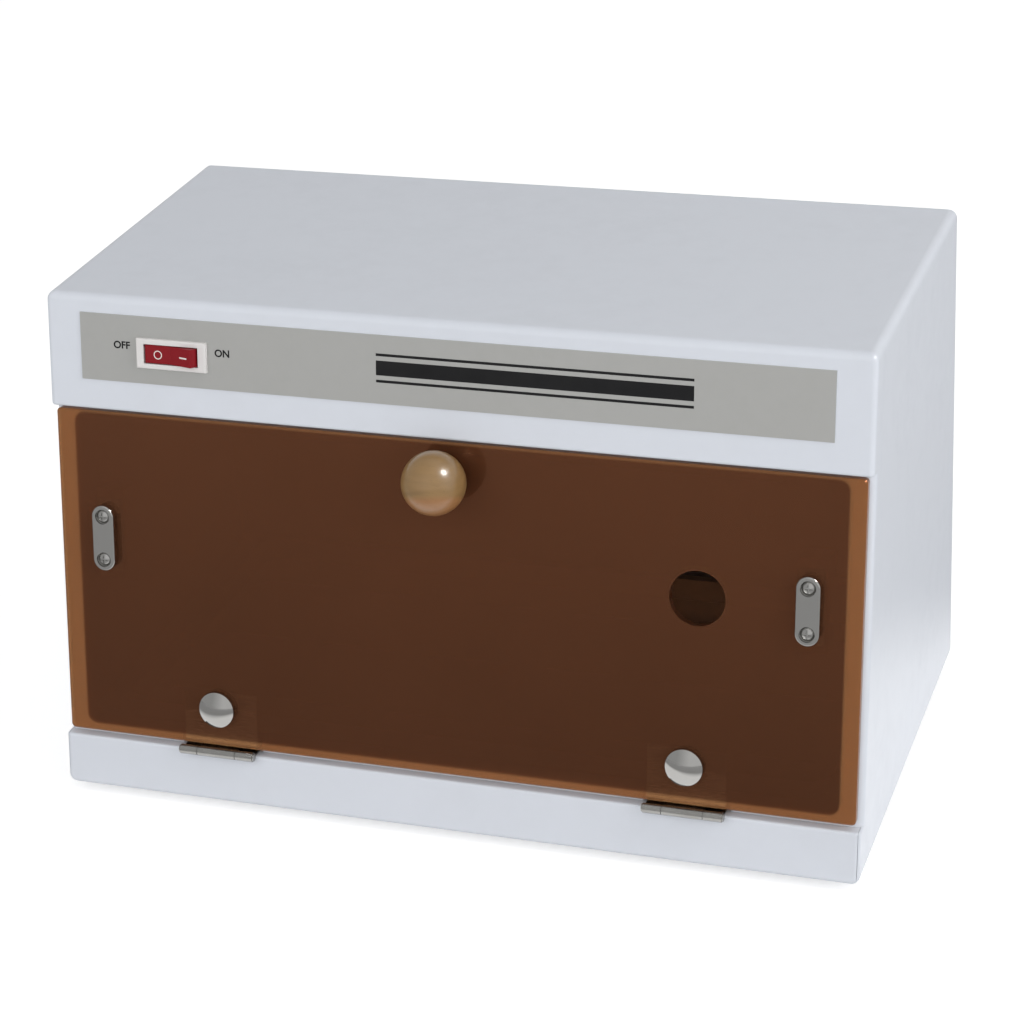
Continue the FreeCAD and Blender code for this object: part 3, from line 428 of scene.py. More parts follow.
@dataclass(frozen=True)
class Coating(Finish):
    """Paint, plastic, rubber or print: a skin with grain and marks of handling."""

    colour: Colour
    marks: Colour
    amount: float = 0.3
    roughness: float = 0.3
    marked: float = 0.42
    grain: float = 1500.0
    depth: float = 0.00002
    strength: float = 0.2
    gloss: float = 0.0
    gloss_roughness: float = 0.12
    metal: float = 0.0
    shine: float = 0.5

    def inputs(self, canvas: Canvas) -> Inputs:
        """The shader's inputs."""
        place = canvas.coordinates()
        marks = canvas.group(EFFECTS.handling, Vector=place, Colour=self.colour,
                             Mark_Colour=self.marks, Amount=self.amount,
                             Clean_Roughness=self.roughness, Marked_Roughness=self.marked)
        grain = canvas.group(EFFECTS.grain, Vector=place, Scale=self.grain)
        return {"Base Color": marks["Colour"], "Roughness": marks["Roughness"],
                "Normal": canvas.bump(grain["Height"], Relief(self.strength, self.depth)),
                "Metallic": self.metal, "Specular IOR Level": self.shine,
                "Coat Weight": self.gloss, "Coat Roughness": self.gloss_roughness}


@dataclass(frozen=True)
class BareMetal(Finish):
    """Rolled, brushed or plated metal."""

    colour: Colour
    marks: Colour
    grain: Grain = Grain.ALONG_X
    scale: float = 160.0
    low: float = 0.2
    high: float = 0.4
    amount: float = 0.3
    strength: float = 0.15
    depth: float = 0.00002

    def inputs(self, canvas: Canvas) -> Inputs:
        """The shader's inputs."""
        lines = canvas.group(EFFECTS.brushing, Vector=canvas.coordinates(self.grain.value),
                             Scale=self.scale, Low_Roughness=self.low, High_Roughness=self.high)
        marks = canvas.group(EFFECTS.handling, Vector=canvas.coordinates(), Colour=self.colour,
                             Mark_Colour=self.marks, Amount=self.amount)
        return {"Base Color": marks["Colour"], "Roughness": lines["Roughness"],
                "Normal": canvas.bump(lines["Height"], Relief(self.strength, self.depth)),
                "Metallic": 1.0}


@dataclass(frozen=True)
class ClearGlass(Finish):
    """Thin clear glass with faint ripples, dust and haze."""

    colour: Colour
    index: float = 1.45
    haze: Noise = Noise(22.0, 4.0, 0.6)
    hazed: Span = Span(0.4, 0.75, 0.01, 0.05)
    dust: Noise = Noise(40.0)
    dusted: Span = Span(0.35, 0.65)
    dusty_share: float = 0.93
    ripple: Noise = Noise(60.0, 1.0, 0.4)
    ripple_relief: Relief = Relief(0.03, 0.0001)

    def inputs(self, canvas: Canvas) -> Inputs:
        """The shader's inputs."""
        place = canvas.coordinates()
        dust = canvas.spread(canvas.noise(place, self.dust), self.dusted)
        return {"Base Color": canvas.mix(dust, self.colour, shade(self.colour, self.dusty_share)),
                "Roughness": canvas.spread(canvas.noise(place, self.haze), self.hazed),
                "Normal": canvas.bump(canvas.noise(place, self.ripple), self.ripple_relief),
                "Metallic": 0.0, "Transmission Weight": 1.0, "IOR": self.index}


@dataclass(frozen=True)
class DoorAcrylic(Finish):
    """Smoked amber acrylic, with painted light: a paler glow round its sides and foot for the lit
    rim seen through it, and painted shade towards its foot.
    """

    smoke: Colour
    painted_rim_glow: Colour
    half_width: float = 0.1793
    aside: float = 0.0009
    middle: float = 0.10715
    half_height: float = 0.07535
    corner: float = 0.005
    blur: float = 0.0005
    deep_share: float = 0.66
    cloud: Noise = Noise(9.0, 3.0, 0.5)
    clouded: Span = Span(0.3, 0.7, 0.0, 0.35)
    # Painted shade: the smoke darkens towards the bottom of the door.
    painted_low_shade: Span = Span(0.03, 0.19, 0.65, 0.0)
    wipe: Noise = Noise(26.0, 4.0, 0.6)
    wipe_scale: Triple = (1.0, 1.0, 0.35)
    wiped: Span = Span(0.4, 0.75, 0.02, 0.10)
    ripple: Noise = Noise(12.0, 1.0, 0.4)
    ripple_relief: Relief = Relief(0.05, 0.0003)
    clear: float = 0.65
    shine: float = 1.0
    gleam: Colour = (1.0, 0.42, 0.22)
    index: float = 1.55

    def _painted_rim_glow_mask(self, canvas: Canvas) -> Socket:
        """A mask of the painted rim glow: what lies outside a round-cornered field on the door's
        plane.

        Args:
            canvas: the material's canvas.

        Returns:
            The mask's socket.
        """
        face = FrontFace()
        turned = Matrix.Rotation(face.lean, 3, "X") @ face.spot(0.0, 0.0)
        flat = canvas.axes(canvas.coordinates(turn=(face.lean, 0.0, 0.0), shift=tuple(-turned)))
        square: object = 0.0
        for place, centre, half in ((flat["X"], self.aside, self.half_width),
                                    (flat["Z"], self.middle, self.half_height)):
            apart = canvas.math("ABSOLUTE", canvas.math("SUBTRACT", place, centre))
            past = canvas.math("MAXIMUM", canvas.math("SUBTRACT", apart, half - self.corner), 0.0)
            square = canvas.math("ADD", canvas.math("MULTIPLY", past, past), square)
        distance = canvas.math("SUBTRACT", canvas.math("SQRT", square), self.corner)
        return canvas.spread(distance, Span(-self.blur, self.blur))

    def inputs(self, canvas: Canvas) -> Inputs:
        """The shader's inputs."""
        place = canvas.coordinates()
        # The noise is real clouding; the Z term is painted shade, darker towards the bottom.
        cloud = canvas.math("ADD", canvas.spread(canvas.noise(place, self.cloud), self.clouded),
                            canvas.spread(canvas.axes(place)["Z"], self.painted_low_shade))
        smoke = canvas.mix(cloud, self.smoke, shade(self.smoke, self.deep_share))
        wipe = canvas.noise(canvas.coordinates(self.wipe_scale), self.wipe)
        # Outside the field the colour is a painted glow of the lit white rim behind the door.
        return {"Base Color": canvas.mix(self._painted_rim_glow_mask(canvas), smoke, self.painted_rim_glow),
                "Roughness": canvas.spread(wipe, self.wiped),
                "Normal": canvas.bump(canvas.noise(place, self.ripple), self.ripple_relief),
                "Metallic": 0.0, "Transmission Weight": self.clear, "IOR": self.index,
                "Specular IOR Level": self.shine, "Specular Tint": self.gleam}


@dataclass(frozen=True)
class TurnedWood(Finish):
    """Lacquered pale wood: leaning layers, a painted reflection of the amber door on its foot, a
    dark streak and fine pores.
    """

    light: Colour
    dark: Colour
    door_reflection: Colour
    ring_scale: Triple = (0.22, 0.6, 1.0)
    ring_turn: Triple = (0.3, 0.12, 0.1)
    ring_share: float = 0.08
    broad: Noise = Noise(60.0, 3.0, 0.5)
    toned: Span = Span(0.35, 0.8)
    layer_tilt: float = 0.448
    layer_slope: float = -0.12
    layer_waver: float = 0.0015
    reflection_below: float = 0.1082
    reflection_blur: float = 0.0012
    streak: float = 0.1106
    streak_fade: Span = Span(0.0003, 0.0013, 0.5, 0.0)
    streak_reach: Span = Span(-0.003, 0.005, 1.0, 0.0)
    pore_scale: Triple = (0.06, 0.8, 1.0)
    pore: Noise = Noise(1500.0, 3.0, 0.7)
    fleck: Span = Span(0.56, 0.72, 0.0, 0.22)
    fleck_share: float = 0.5
    pore_relief: Relief = Relief(0.1, 0.00003)
    rough: Span = Span(0.3, 0.7, 0.28, 0.4)
    lacquer: float = 0.4
    lacquer_roughness: float = 0.05

    RINGS = {"Scale": 95.0, "Distortion": 7.0, "Detail": 3.0, "Detail Scale": 0.7,
             "Detail Roughness": 0.6}

    def inputs(self, canvas: Canvas) -> Inputs:
        """The shader's inputs."""
        stretched = canvas.coordinates(self.ring_scale, self.ring_turn)
        rings = canvas.add("ShaderNodeTexWave", {"Vector": stretched, **self.RINGS},
                           wave_type="BANDS", bands_direction="Z", wave_profile="SIN")
        broad = canvas.noise(stretched, self.broad)
        faint = canvas.math("MULTIPLY", rings.outputs["Fac"], self.ring_share)
        tone = canvas.math("ADD", faint, broad)
        base = canvas.mix(canvas.spread(tone, self.toned), self.light, self.dark)
        place = canvas.axes(canvas.coordinates(turn=(self.layer_tilt, 0.0, 0.0)))
        layer = canvas.math("ADD", place["Z"],
                            canvas.math("MULTIPLY", place["X"], self.layer_slope))
        layer = canvas.math("ADD", layer, canvas.math("MULTIPLY", broad, self.layer_waver))
        # Painted reflection: below a tilted plane the knob takes the amber door's reflected colour.
        door_reflection_mask = canvas.spread(layer, Span(self.reflection_below - self.reflection_blur,
                                          self.reflection_below + self.reflection_blur, 1.0, 0.0))
        base = canvas.mix(door_reflection_mask, base, self.door_reflection)
        apart = canvas.math("ABSOLUTE", canvas.math("SUBTRACT", layer, self.streak))
        streak = canvas.math("MULTIPLY", canvas.spread(apart, self.streak_fade),
                             canvas.spread(place["X"], self.streak_reach))
        base = canvas.mix(streak, base, self.dark)
        pores = canvas.noise(canvas.coordinates(self.pore_scale), self.pore)
        return {"Base Color": canvas.mix(canvas.spread(pores, self.fleck), base,
                                         shade(self.dark, self.fleck_share)),
                "Normal": canvas.bump(pores, self.pore_relief),
                "Roughness": canvas.spread(broad, self.rough),
                "Coat Weight": self.lacquer, "Coat Roughness": self.lacquer_roughness}


@dataclass(frozen=True)
class WoundCore(Finish):
    """A choke: lacquered laminations in the middle, taped winding past them."""

    steel: Colour
    tape: Colour
    middle: float
    core_half: float
    sheet: float = 0.0005
    edge: float = 0.0002
    rust: Noise = Noise(70.0, 4.0, 0.6)
    rusted: Span = Span(0.4, 0.7)
    rust_share: float = 0.55
    seam: Span = Span(0.0, 0.35, 0.55, 0.0)
    seam_colour: Colour = (0.03, 0.03, 0.03)
    seam_relief: Relief = Relief(0.3, 0.0001)
    worn: Span = Span(0.35, 0.65)
    worn_share: float = 0.8
    metal: Span = Span(0.0, 1.0, 0.55, 0.0)
    rough: Span = Span(0.3, 0.7, 0.38, 0.55)

    def inputs(self, canvas: Canvas) -> Inputs:
        """The shader's inputs."""
        place = canvas.axes(canvas.coordinates(shift=(-self.middle, 0.0, 0.0)))
        past = canvas.spread(canvas.math("ABSOLUTE", place["X"]),
                             Span(self.core_half, self.core_half + self.edge))
        phase = canvas.math("MULTIPLY", place["Y"], math.pi / self.sheet)
        seams = canvas.math("ABSOLUTE", canvas.math("SINE", phase))
        rust = canvas.noise(canvas.coordinates(), self.rust)
        steel = canvas.mix(canvas.spread(rust, self.rusted), self.steel,
                           shade(self.steel, self.rust_share))
        steel = canvas.mix(canvas.spread(seams, self.seam), steel, self.seam_colour)
        tape = canvas.mix(canvas.spread(rust, self.worn), self.tape,
                          shade(self.tape, self.worn_share))
        return {"Base Color": canvas.mix(past, steel, tape),
                "Metallic": canvas.spread(past, self.metal),
                "Roughness": canvas.spread(rust, self.rough),
                "Normal": canvas.bump(seams, self.seam_relief)}


@dataclass(frozen=True)
class StageWhite(Finish):
    """Floor: pale for the light, white to the eye and through glass; gloss sees it white nearby."""

    colour: Colour
    lift: float
    near: Pair = (0.26, 0.23)
    near_fade: Span = Span(0.9, 1.15, 1.0, 0.0)
    mirrored: Colour = (0.52, 0.52, 0.52)
    roughness: float = 0.9

    def inputs(self, canvas: Canvas) -> Inputs:
        """The shader's inputs."""
        place = canvas.coordinates((1.0 / self.near[0], 1.0 / self.near[1], 1.0))
        reach = canvas.add("ShaderNodeVectorMath", {0: place}, operation="LENGTH")
        gloss, seen = canvas.paths()
        near = canvas.math("MULTIPLY", gloss, canvas.spread(reach.outputs["Value"],
                                                            self.near_fade))
        far = canvas.math("SUBTRACT", gloss, near)
        seen = canvas.math("MAXIMUM", seen, near)
        return {"Base Color": canvas.mix(far, self.colour, self.mirrored),
                "Roughness": self.roughness, "Specular IOR Level": 0.0, "Emission Color": WHITE,
                "Emission Strength": canvas.spread(seen, Span(0.0, 1.0, 0.0, self.lift))}


class Bench:
    """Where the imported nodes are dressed, with all finishes, each made when first asked for."""

    FINISHES = {
        "white_sheet": Coating(
            "white_paint", (0.66, 0.69, 0.75), (0.58, 0.6, 0.64), amount=0.16, roughness=0.34,
            grain=420.0, strength=0.16, depth=0.00006, gloss=0.15),
        "galvanised": BareMetal(
            "galvanised_sheet", (0.6, 0.62, 0.64), (0.42, 0.44, 0.46), scale=14.0, low=0.32,
            high=0.5, amount=0.6),
        "stainless": BareMetal(
            "brushed_stainless", (0.62, 0.62, 0.61), (0.54, 0.54, 0.53), low=0.28, high=0.38,
            amount=0.25, strength=0.08),
        "bright_steel": BareMetal(
            "plated_steel", (0.38, 0.375, 0.36), (0.3, 0.29, 0.27), high=0.3, amount=0.4,
            strength=0.03),
        "chrome": BareMetal(
            "nickel_plate", (0.46, 0.455, 0.44), (0.39, 0.38, 0.365), Grain.ALONG_Z, low=0.06,
            high=0.12, strength=0.02),
        "screw_steel": BareMetal(
            "zinc_plated_screws", (0.46, 0.455, 0.44), (0.36, 0.35, 0.33), low=0.16, high=0.28,
            amount=0.4, strength=0.06),
        "grey_plate": Coating(
            "grey_enamelled_plate", (0.475, 0.475, 0.46), (0.43, 0.43, 0.41), roughness=0.42,
            marked=0.5, grain=1200.0, strength=0.12, metal=0.5),
        "white_plastic": Coating(
            "white_moulding", (0.71, 0.69, 0.68), (0.63, 0.61, 0.59), amount=0.2, strength=0.1,
            gloss=0.05),
        "red_plastic": Coating(
            "red_moulding", (0.24, 0.006, 0.012), (0.18, 0.006, 0.01), roughness=0.32,
            strength=0.05, shine=0.22),
        # The second colour is a painted glow of the lit rim seen through the door.
        "amber_acrylic": DoorAcrylic(
            "amber_acrylic", (0.182, 0.072, 0.034), (0.475, 0.228, 0.096)),
        # The third colour is a painted reflection of the amber door on the knob's foot.
        "turned_wood": TurnedWood(
            "lacquered_wood", (0.275, 0.162, 0.062), (0.185, 0.106, 0.038), (0.33, 0.16, 0.062)),
        "mirror_aluminium": BareMetal(
            "mirror_aluminium", (0.8, 0.81, 0.83), (0.7, 0.71, 0.72), scale=60.0, low=0.05,
            high=0.14, amount=0.2, strength=0.05),
        "tube_glass": ClearGlass("quartz_tube", (0.93, 0.95, 0.97)),
        "black_plastic": Coating(
            "black_moulding", (0.02, 0.02, 0.021), (0.05, 0.05, 0.05), roughness=0.42,
            marked=0.55, grain=1400.0, strength=0.3),
        "grey_plastic": Coating(
            "pale_moulding", (0.6, 0.6, 0.57), (0.5, 0.49, 0.45), roughness=0.4, marked=0.5,
            grain=1400.0),
        "black_rubber": Coating(
            "black_rubber", (0.018, 0.018, 0.018), (0.06, 0.058, 0.055), amount=0.5,
            roughness=0.65, marked=0.8, grain=900.0, strength=0.5),
        "ballast_steel": WoundCore(
            "choke_core", (0.34, 0.34, 0.33), (0.55, 0.42, 0.16), middle=0.07, core_half=0.04),
        "magnet_case": Coating(
            "cream_moulding", (0.62, 0.61, 0.56), (0.52, 0.5, 0.44), amount=0.25, roughness=0.36,
            marked=0.48, grain=1200.0),
        "ink": Coating(
            "black_print", (0.012, 0.012, 0.013), (0.022, 0.022, 0.022), amount=0.4,
            roughness=0.5, marked=0.6, grain=2500.0, shine=0.15),
        "white_ink": Coating(
            "white_print", (0.8, 0.76, 0.72), (0.6, 0.56, 0.52), amount=0.4, roughness=0.5,
            marked=0.6, grain=2500.0),
        "brass": BareMetal(
            "plain_brass", (0.62, 0.46, 0.2), (0.4, 0.28, 0.12), Grain.ALONG_Y, 80.0, high=0.36,
            amount=0.5),
        "tungsten": BareMetal(
            "dark_wire", (0.22, 0.21, 0.2), (0.12, 0.11, 0.1), scale=80.0, low=0.3, high=0.5,
            amount=0.5),
    }

    def __init__(self) -> None:
        """Start with nothing made, and read each node's slot from the record."""
        self.made: dict[str, bpy.types.Material] = {}
        self.slots = {part["node"]: part["material_slot"] for part in frame["record"]["subparts"]}
        self.dressed: set[str] = set()

    def finish(self, name: str) -> bpy.types.Material:
        """The material of a finish, made on first use."""
        if name not in self.made:
            self.made[name] = self.FINISHES[name].material()
        return self.made[name]

    def dress(self, node: str) -> None:
        """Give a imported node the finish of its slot.

        Args:
            node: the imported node's name.
        """
        shape = frame["nodes"][node]
        finish = self.finish(self.slots[node])
        if not shape.material_slots:
            shape.data.materials.append(finish)
        for holder in shape.material_slots:
            holder.material = finish
        self.dressed.add(node)


# Camera, light and floor


@dataclass(frozen=True)
class Lamp:
    """One soft round lamp: gloss doesn't mirror it, but a sparkle is seen only by gloss."""

    name: str
    place: Triple
    size: float
    watts: float
    sparkle: bool = False
    aim: Triple = (0.0, 0.0, 0.12)

    def hang(self) -> None:
        """Hang the lamp in the scene."""
        light = bpy.data.lights.new(self.name, "AREA")
        light.shape = "DISK"
        light.energy = self.watts
        light.size = self.size
        holder = stand(self.name, light)
        holder.visible_glossy = self.sparkle
        holder.visible_diffuse = not self.sparkle
        facing = (Vector(self.aim) - Vector(self.place)).normalized()
        turn = facing.to_track_quat("-Z", "Y").to_matrix().to_4x4()
        holder.matrix_world = Matrix.Translation(self.place) @ turn


@dataclass
class Studio:
    """The camera at the photograph's angle, plain soft lights and a pale floor."""

    eye: Triple = (0.411513, -1.136724, 0.694707)
    look: Triple = (-0.30583981, 0.84785389, -0.43313484)
    top: Triple = (-0.0917821, 0.42655939, 0.89979061)
    lens: float = 100.483
    floor_size: float = 6.0
    floor_colour: Colour = (0.78, 0.78, 0.78)
    floor_lift: float = 0.52
    sky: Span = Span(0.0, 1.0, 0.72, 0.42)
    mirrored_sky: Span = Span(-0.55, 0.1, 0.48, 0.80)
    lamps: tuple[Lamp, ...] = (
        Lamp("front_lamp", (-1.0, -2.3, 1.3), 2.9, 26.0),
        Lamp("side_lamp", (2.1, -0.6, 0.8), 1.8, 18.5),
        Lamp("small_lamp", (1.33, -0.24, 1.62), 0.42, 4.5),
        Lamp("sparkle_lamp", (1.33, -0.24, 1.62), 0.60, 40.0, True),
    )

    def build(self) -> None:
        """Set the whole studio up."""
        self._camera()
        self._world()
        for lamp in self.lamps:
            lamp.hang()
        self._floor()
        bpy.context.scene.view_settings.view_transform = "Standard"

    def _camera(self) -> None:
        """Place the camera."""
        camera = bpy.data.cameras.new("view_camera")
        camera.lens = self.lens
        look = Vector(self.look).normalized()
        right = look.cross(Vector(self.top)).normalized()
        up = right.cross(look)
        holder = stand("view_camera", camera)
        turn = Matrix((right, up, -look)).transposed().to_4x4()
        holder.matrix_world = Matrix.Translation(Vector(self.eye)) @ turn
        bpy.context.scene.camera = holder

    def _world(self) -> None:
        """A soft sky: white to the eye, weaker overhead for light, weaker at the left for gloss."""
        world = bpy.data.worlds.new("soft_sky")
        world.use_nodes = True
        world.node_tree.nodes.clear()
        canvas = Canvas(world.node_tree)
        gloss, seen = canvas.paths()
        direction = canvas.axes(canvas.add("ShaderNodeTexCoord").outputs["Generated"])
        light = canvas.blend(gloss, canvas.spread(direction["Z"], self.sky),
                             canvas.spread(direction["X"], self.mirrored_sky))
        sky = canvas.add("ShaderNodeBackground",
                         {"Color": WHITE, "Strength": canvas.blend(seen, light, 1.0)})
        canvas.add("ShaderNodeOutputWorld", {"Surface": sky.outputs["Background"]})
        bpy.context.scene.world = world

    def _floor(self) -> None:
        """A pale floor."""
        shape = bmesh.new()
        bmesh.ops.create_grid(shape, x_segments=1, y_segments=1, size=self.floor_size)
        floor = stand("studio_floor", as_mesh(shape, "studio_floor"))
        floor.data.materials.append(
            StageWhite("floor_white", self.floor_colour, self.floor_lift).material())


# Shapes that several sub-assemblies use


def bar(shape: Shape, low: Vector, high: Vector,
        chamfer: float = 0.0) -> list[bmesh.types.BMVert]:
    """Add a box between two corners.

    Args:
        shape: the mesh to add to.
        low: the lowest corner.
        high: the highest corner.
        chamfer: the width of the bevel on its edges.

    Returns:
        The box's points before the bevel.
    """
    place = Matrix.Translation((low + high) / 2) @ Matrix.Diagonal((*(high - low), 1.0))
    points = bmesh.ops.create_cube(shape, size=1.0, matrix=place)["verts"]
    if chamfer:
        edges = {edge for point in points for edge in point.link_edges}
        bmesh.ops.bevel(shape, geom=list(edges), offset=chamfer, offset_type="OFFSET", segments=2,
                        profile=0.5, affect="EDGES", clamp_overlap=True, material=-1)
    return points


def rod(shape: Shape, start: Vector, end: Vector, radius: float,
        tip: float | None = None, sides: int = 24) -> None:
    """Add a closed round rod or cone between two points.

    Args:
        shape: the mesh to add to.
        start: the middle of its first end.
        end: the middle of its second end.
        radius: its radius at the start.
        tip: its radius at the end, the same where it isn't given.
        sides: the number of its sides.
    """
    run = end - start
    turn = run.to_track_quat("Z", "Y").to_matrix().to_4x4()
    place = Matrix.Translation((start + end) / 2) @ turn
    bmesh.ops.create_cone(shape, cap_ends=True, cap_tris=False, segments=sides, radius1=radius,
                          radius2=radius if tip is None else tip, depth=run.length, matrix=place)


def ring(shape: Shape, corners: Sequence[Vector], centre: Vector, axis: Vector,
         sides: int) -> None:
    """Turn a closed section once round an axis.

    Args:
        shape: the mesh to add to, empty so far.
        corners: the section's corners in order.
        centre: a point on the axis.
        axis: the axis's direction.
        sides: the number of steps.
    """
    points = [shape.verts.new(corner) for corner in corners]
    edges = [shape.edges.new(pair) for pair in zip(points, [*points[1:], points[0]])]
    bmesh.ops.spin(shape, geom=[*points, *edges], cent=centre, axis=axis, dvec=(0, 0, 0),
                   angle=math.tau, steps=sides, use_merge=True)
    bmesh.ops.remove_doubles(shape, verts=shape.verts, dist=WELD)
    bmesh.ops.recalc_face_normals(shape, faces=shape.faces)


# Sub-assemblies


@dataclass
class SubAssembly:
    """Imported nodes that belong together, with the small pieces that go on them."""

    bench: Bench
    nodes: Names = ()
    pieces: list[str] = field(default_factory=list)

    SHARP = math.radians(32.0)

    def make(self) -> None:
        """Dress the nodes, build the pieces and report."""
        for node in self.nodes:
            self.bench.dress(node)
        self.build()
        log.info("%s: %d nodes, pieces: %s", type(self).__name__, len(self.nodes),
                 ", ".join(self.pieces) or "none")

    def build(self) -> None:
        """Build the small pieces; a plain group has none."""

    def add(self, shape: Shape, name: str, finish: str, slot: str, body: Body = Body.CABINET,
            replaces: Sequence[str] = ()) -> None:
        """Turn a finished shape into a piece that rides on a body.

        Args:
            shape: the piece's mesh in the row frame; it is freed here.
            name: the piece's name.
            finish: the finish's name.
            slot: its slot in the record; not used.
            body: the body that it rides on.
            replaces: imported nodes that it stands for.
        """
        for face in shape.faces:
            face.smooth = True
        for edge in shape.edges:
            if edge.is_manifold and edge.calc_face_angle(0.0) > self.SHARP:
                edge.smooth = False
        piece = stand(name, as_mesh(shape, name))
        piece.data.materials.append(self.bench.finish(finish))
        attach(piece, body.value)
        if replaces:
            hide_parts(*replaces)
            self.bench.dressed.update(replaces)
        self.pieces.append(name)


@dataclass
class Housing(SubAssembly):
    """The folded cover, the plinth, the panels and the feet."""

    nodes: Names = (
        "outer_cover", "door_sill", "plinth", "bottom_plate", "back_panel", "panel_screws",
        "ceiling_panel", "rubber_foot_1", "rubber_foot_2", "rubber_foot_3", "rubber_foot_4",
        "foot_screws")


@dataclass
class ControlStrip(SubAssembly):
    """The grey plate with its print, and the rocker switch."""

    nodes: Names = ("fascia_plate", "switch_housing", "switch_rocker")
    face: FrontFace = FrontFace()
    plate_proud: float = 0.0005
    print_thickness: float = 0.00004
    word_height: float = 0.0046
    word_weight: float = 0.00013
    words: tuple[tuple[str, Pair], ...] = (("OFF", (-0.1527, 0.2153)), ("ON", (-0.1037, 0.2150)))
    rule_left: float = -0.0307
    rule_right: float = 0.1125
    rule_middle: float = 0.2145
    rule_heights: tuple[float, ...] = (0.0012, 0.0066, 0.0012)
    rule_gap: float = 0.0020
    mark_rise: float = 0.2125
    probe: float = 0.02
    ring_across: float = -0.1344
    ring_radius: float = 0.0020
    ring_wire: float = 0.00042
    ring_sides: int = 40
    dash_across: float = -0.1211
    dash_size: Pair = (0.0042, 0.0007)

    def build(self) -> None:
        """Print the plate and the rocker."""
        self._words()
        self._rules()
        self._rocker_marks()

    def _words(self) -> None:
        """OFF and ON beside the switch."""
        shape = bmesh.new()
        for text, (across, rise) in self.words:
            curve = bpy.data.curves.new("print_text", "FONT")
            curve.body = text
            curve.size = self.word_height
            curve.align_x = curve.align_y = "CENTER"
            curve.extrude = self.print_thickness / 2
            curve.offset = self.word_weight
            holder = stand("print_text", curve)
            graph = bpy.context.evaluated_depsgraph_get()
            flat = bpy.data.meshes.new_from_object(holder.evaluated_get(graph))
            bpy.data.objects.remove(holder)
            spot = self.face.spot(across, rise, self.plate_proud + self.print_thickness / 2)
            flat.transform(Matrix.Translation(spot) @ self.face.turn())
            pour(flat, shape)
        self.add(shape, "switch_words", "ink", "grey_plate")

    def _rules(self) -> None:
        """A broad printed rule between two fine ones."""
        shape = bmesh.new()
        total = sum(self.rule_heights) + self.rule_gap * (len(self.rule_heights) - 1)
        foot = self.rule_middle - total / 2
        head = self.plate_proud + self.print_thickness
        for height in self.rule_heights:
            bar(shape, Vector((self.rule_left, foot, self.plate_proud)),
                Vector((self.rule_right, foot + height, head)))
            foot += height + self.rule_gap
        turn = Matrix.Translation(self.face.spot(0.0, 0.0)) @ self.face.turn()
        bmesh.ops.transform(shape, matrix=turn, verts=shape.verts)
        self.add(shape, "plate_rules", "ink", "grey_plate")

    def _on_rocker(self, across: float) -> Matrix:
        """Where a mark lies on the rocker's face.

        Args:
            across: the mark's distance to the right of the cabinet's middle.

        Returns:
            The matrix that lays a flat mark there.
        """
        rocker = frame["nodes"]["switch_rocker"]
        tree = BVHTree.FromObject(rocker, bpy.context.evaluated_depsgraph_get())
        start = self.face.spot(across, self.mark_rise, self.probe)
        place, normal, _, _ = tree.ray_cast(start, -self.face.out())
        side = self.face.up().cross(normal).normalized()
        turn = Matrix((side, normal.cross(side), normal)).transposed().to_4x4()
        return Matrix.Translation(place) @ turn

    def _rocker_marks(self) -> None:
        """A ring for off and a dash for on."""
        shape = bmesh.new()
        thick = self.print_thickness
        inner, outer = self.ring_radius - self.ring_wire, self.ring_radius
        corners = [Vector((inner, 0, 0)), Vector((outer, 0, 0)), Vector((outer, 0, thick)),
                   Vector((inner, 0, thick))]
        ring(shape, corners, Vector((0, 0, 0)), UP, self.ring_sides)
        bmesh.ops.transform(shape, matrix=self._on_rocker(self.ring_across), verts=shape.verts)
        half_long, half_high = self.dash_size[0] / 2, self.dash_size[1] / 2
        dash = bar(shape, Vector((-half_long, -half_high, 0)),
                   Vector((half_long, half_high, thick)))
        bmesh.ops.transform(shape, matrix=self._on_rocker(self.dash_across), verts=dash)
        self.add(shape, "rocker_marks", "white_ink", "red_plastic", Body.ROCKER)


@dataclass
class Door(SubAssembly):
    """The acrylic door with its knob, bolts and catch plates."""

    nodes: Names = (
        "door_panel", "door_knob", "knob_washer", "knob_screw",
        *both_sides("hinge_bolt", "hinge_nut", "catch_plate", "catch_screws", "strike_plate"))


@dataclass
class Hinges(SubAssembly):
    """Two butt hinges, with their pins and screws, and the magnets that hold the door shut."""

    nodes: Names = (
        *both_sides("hinge_fixed_leaf", "hinge_door_leaf", "hinge_pin"), "hinge_screws",
        *both_sides("door_magnet"))


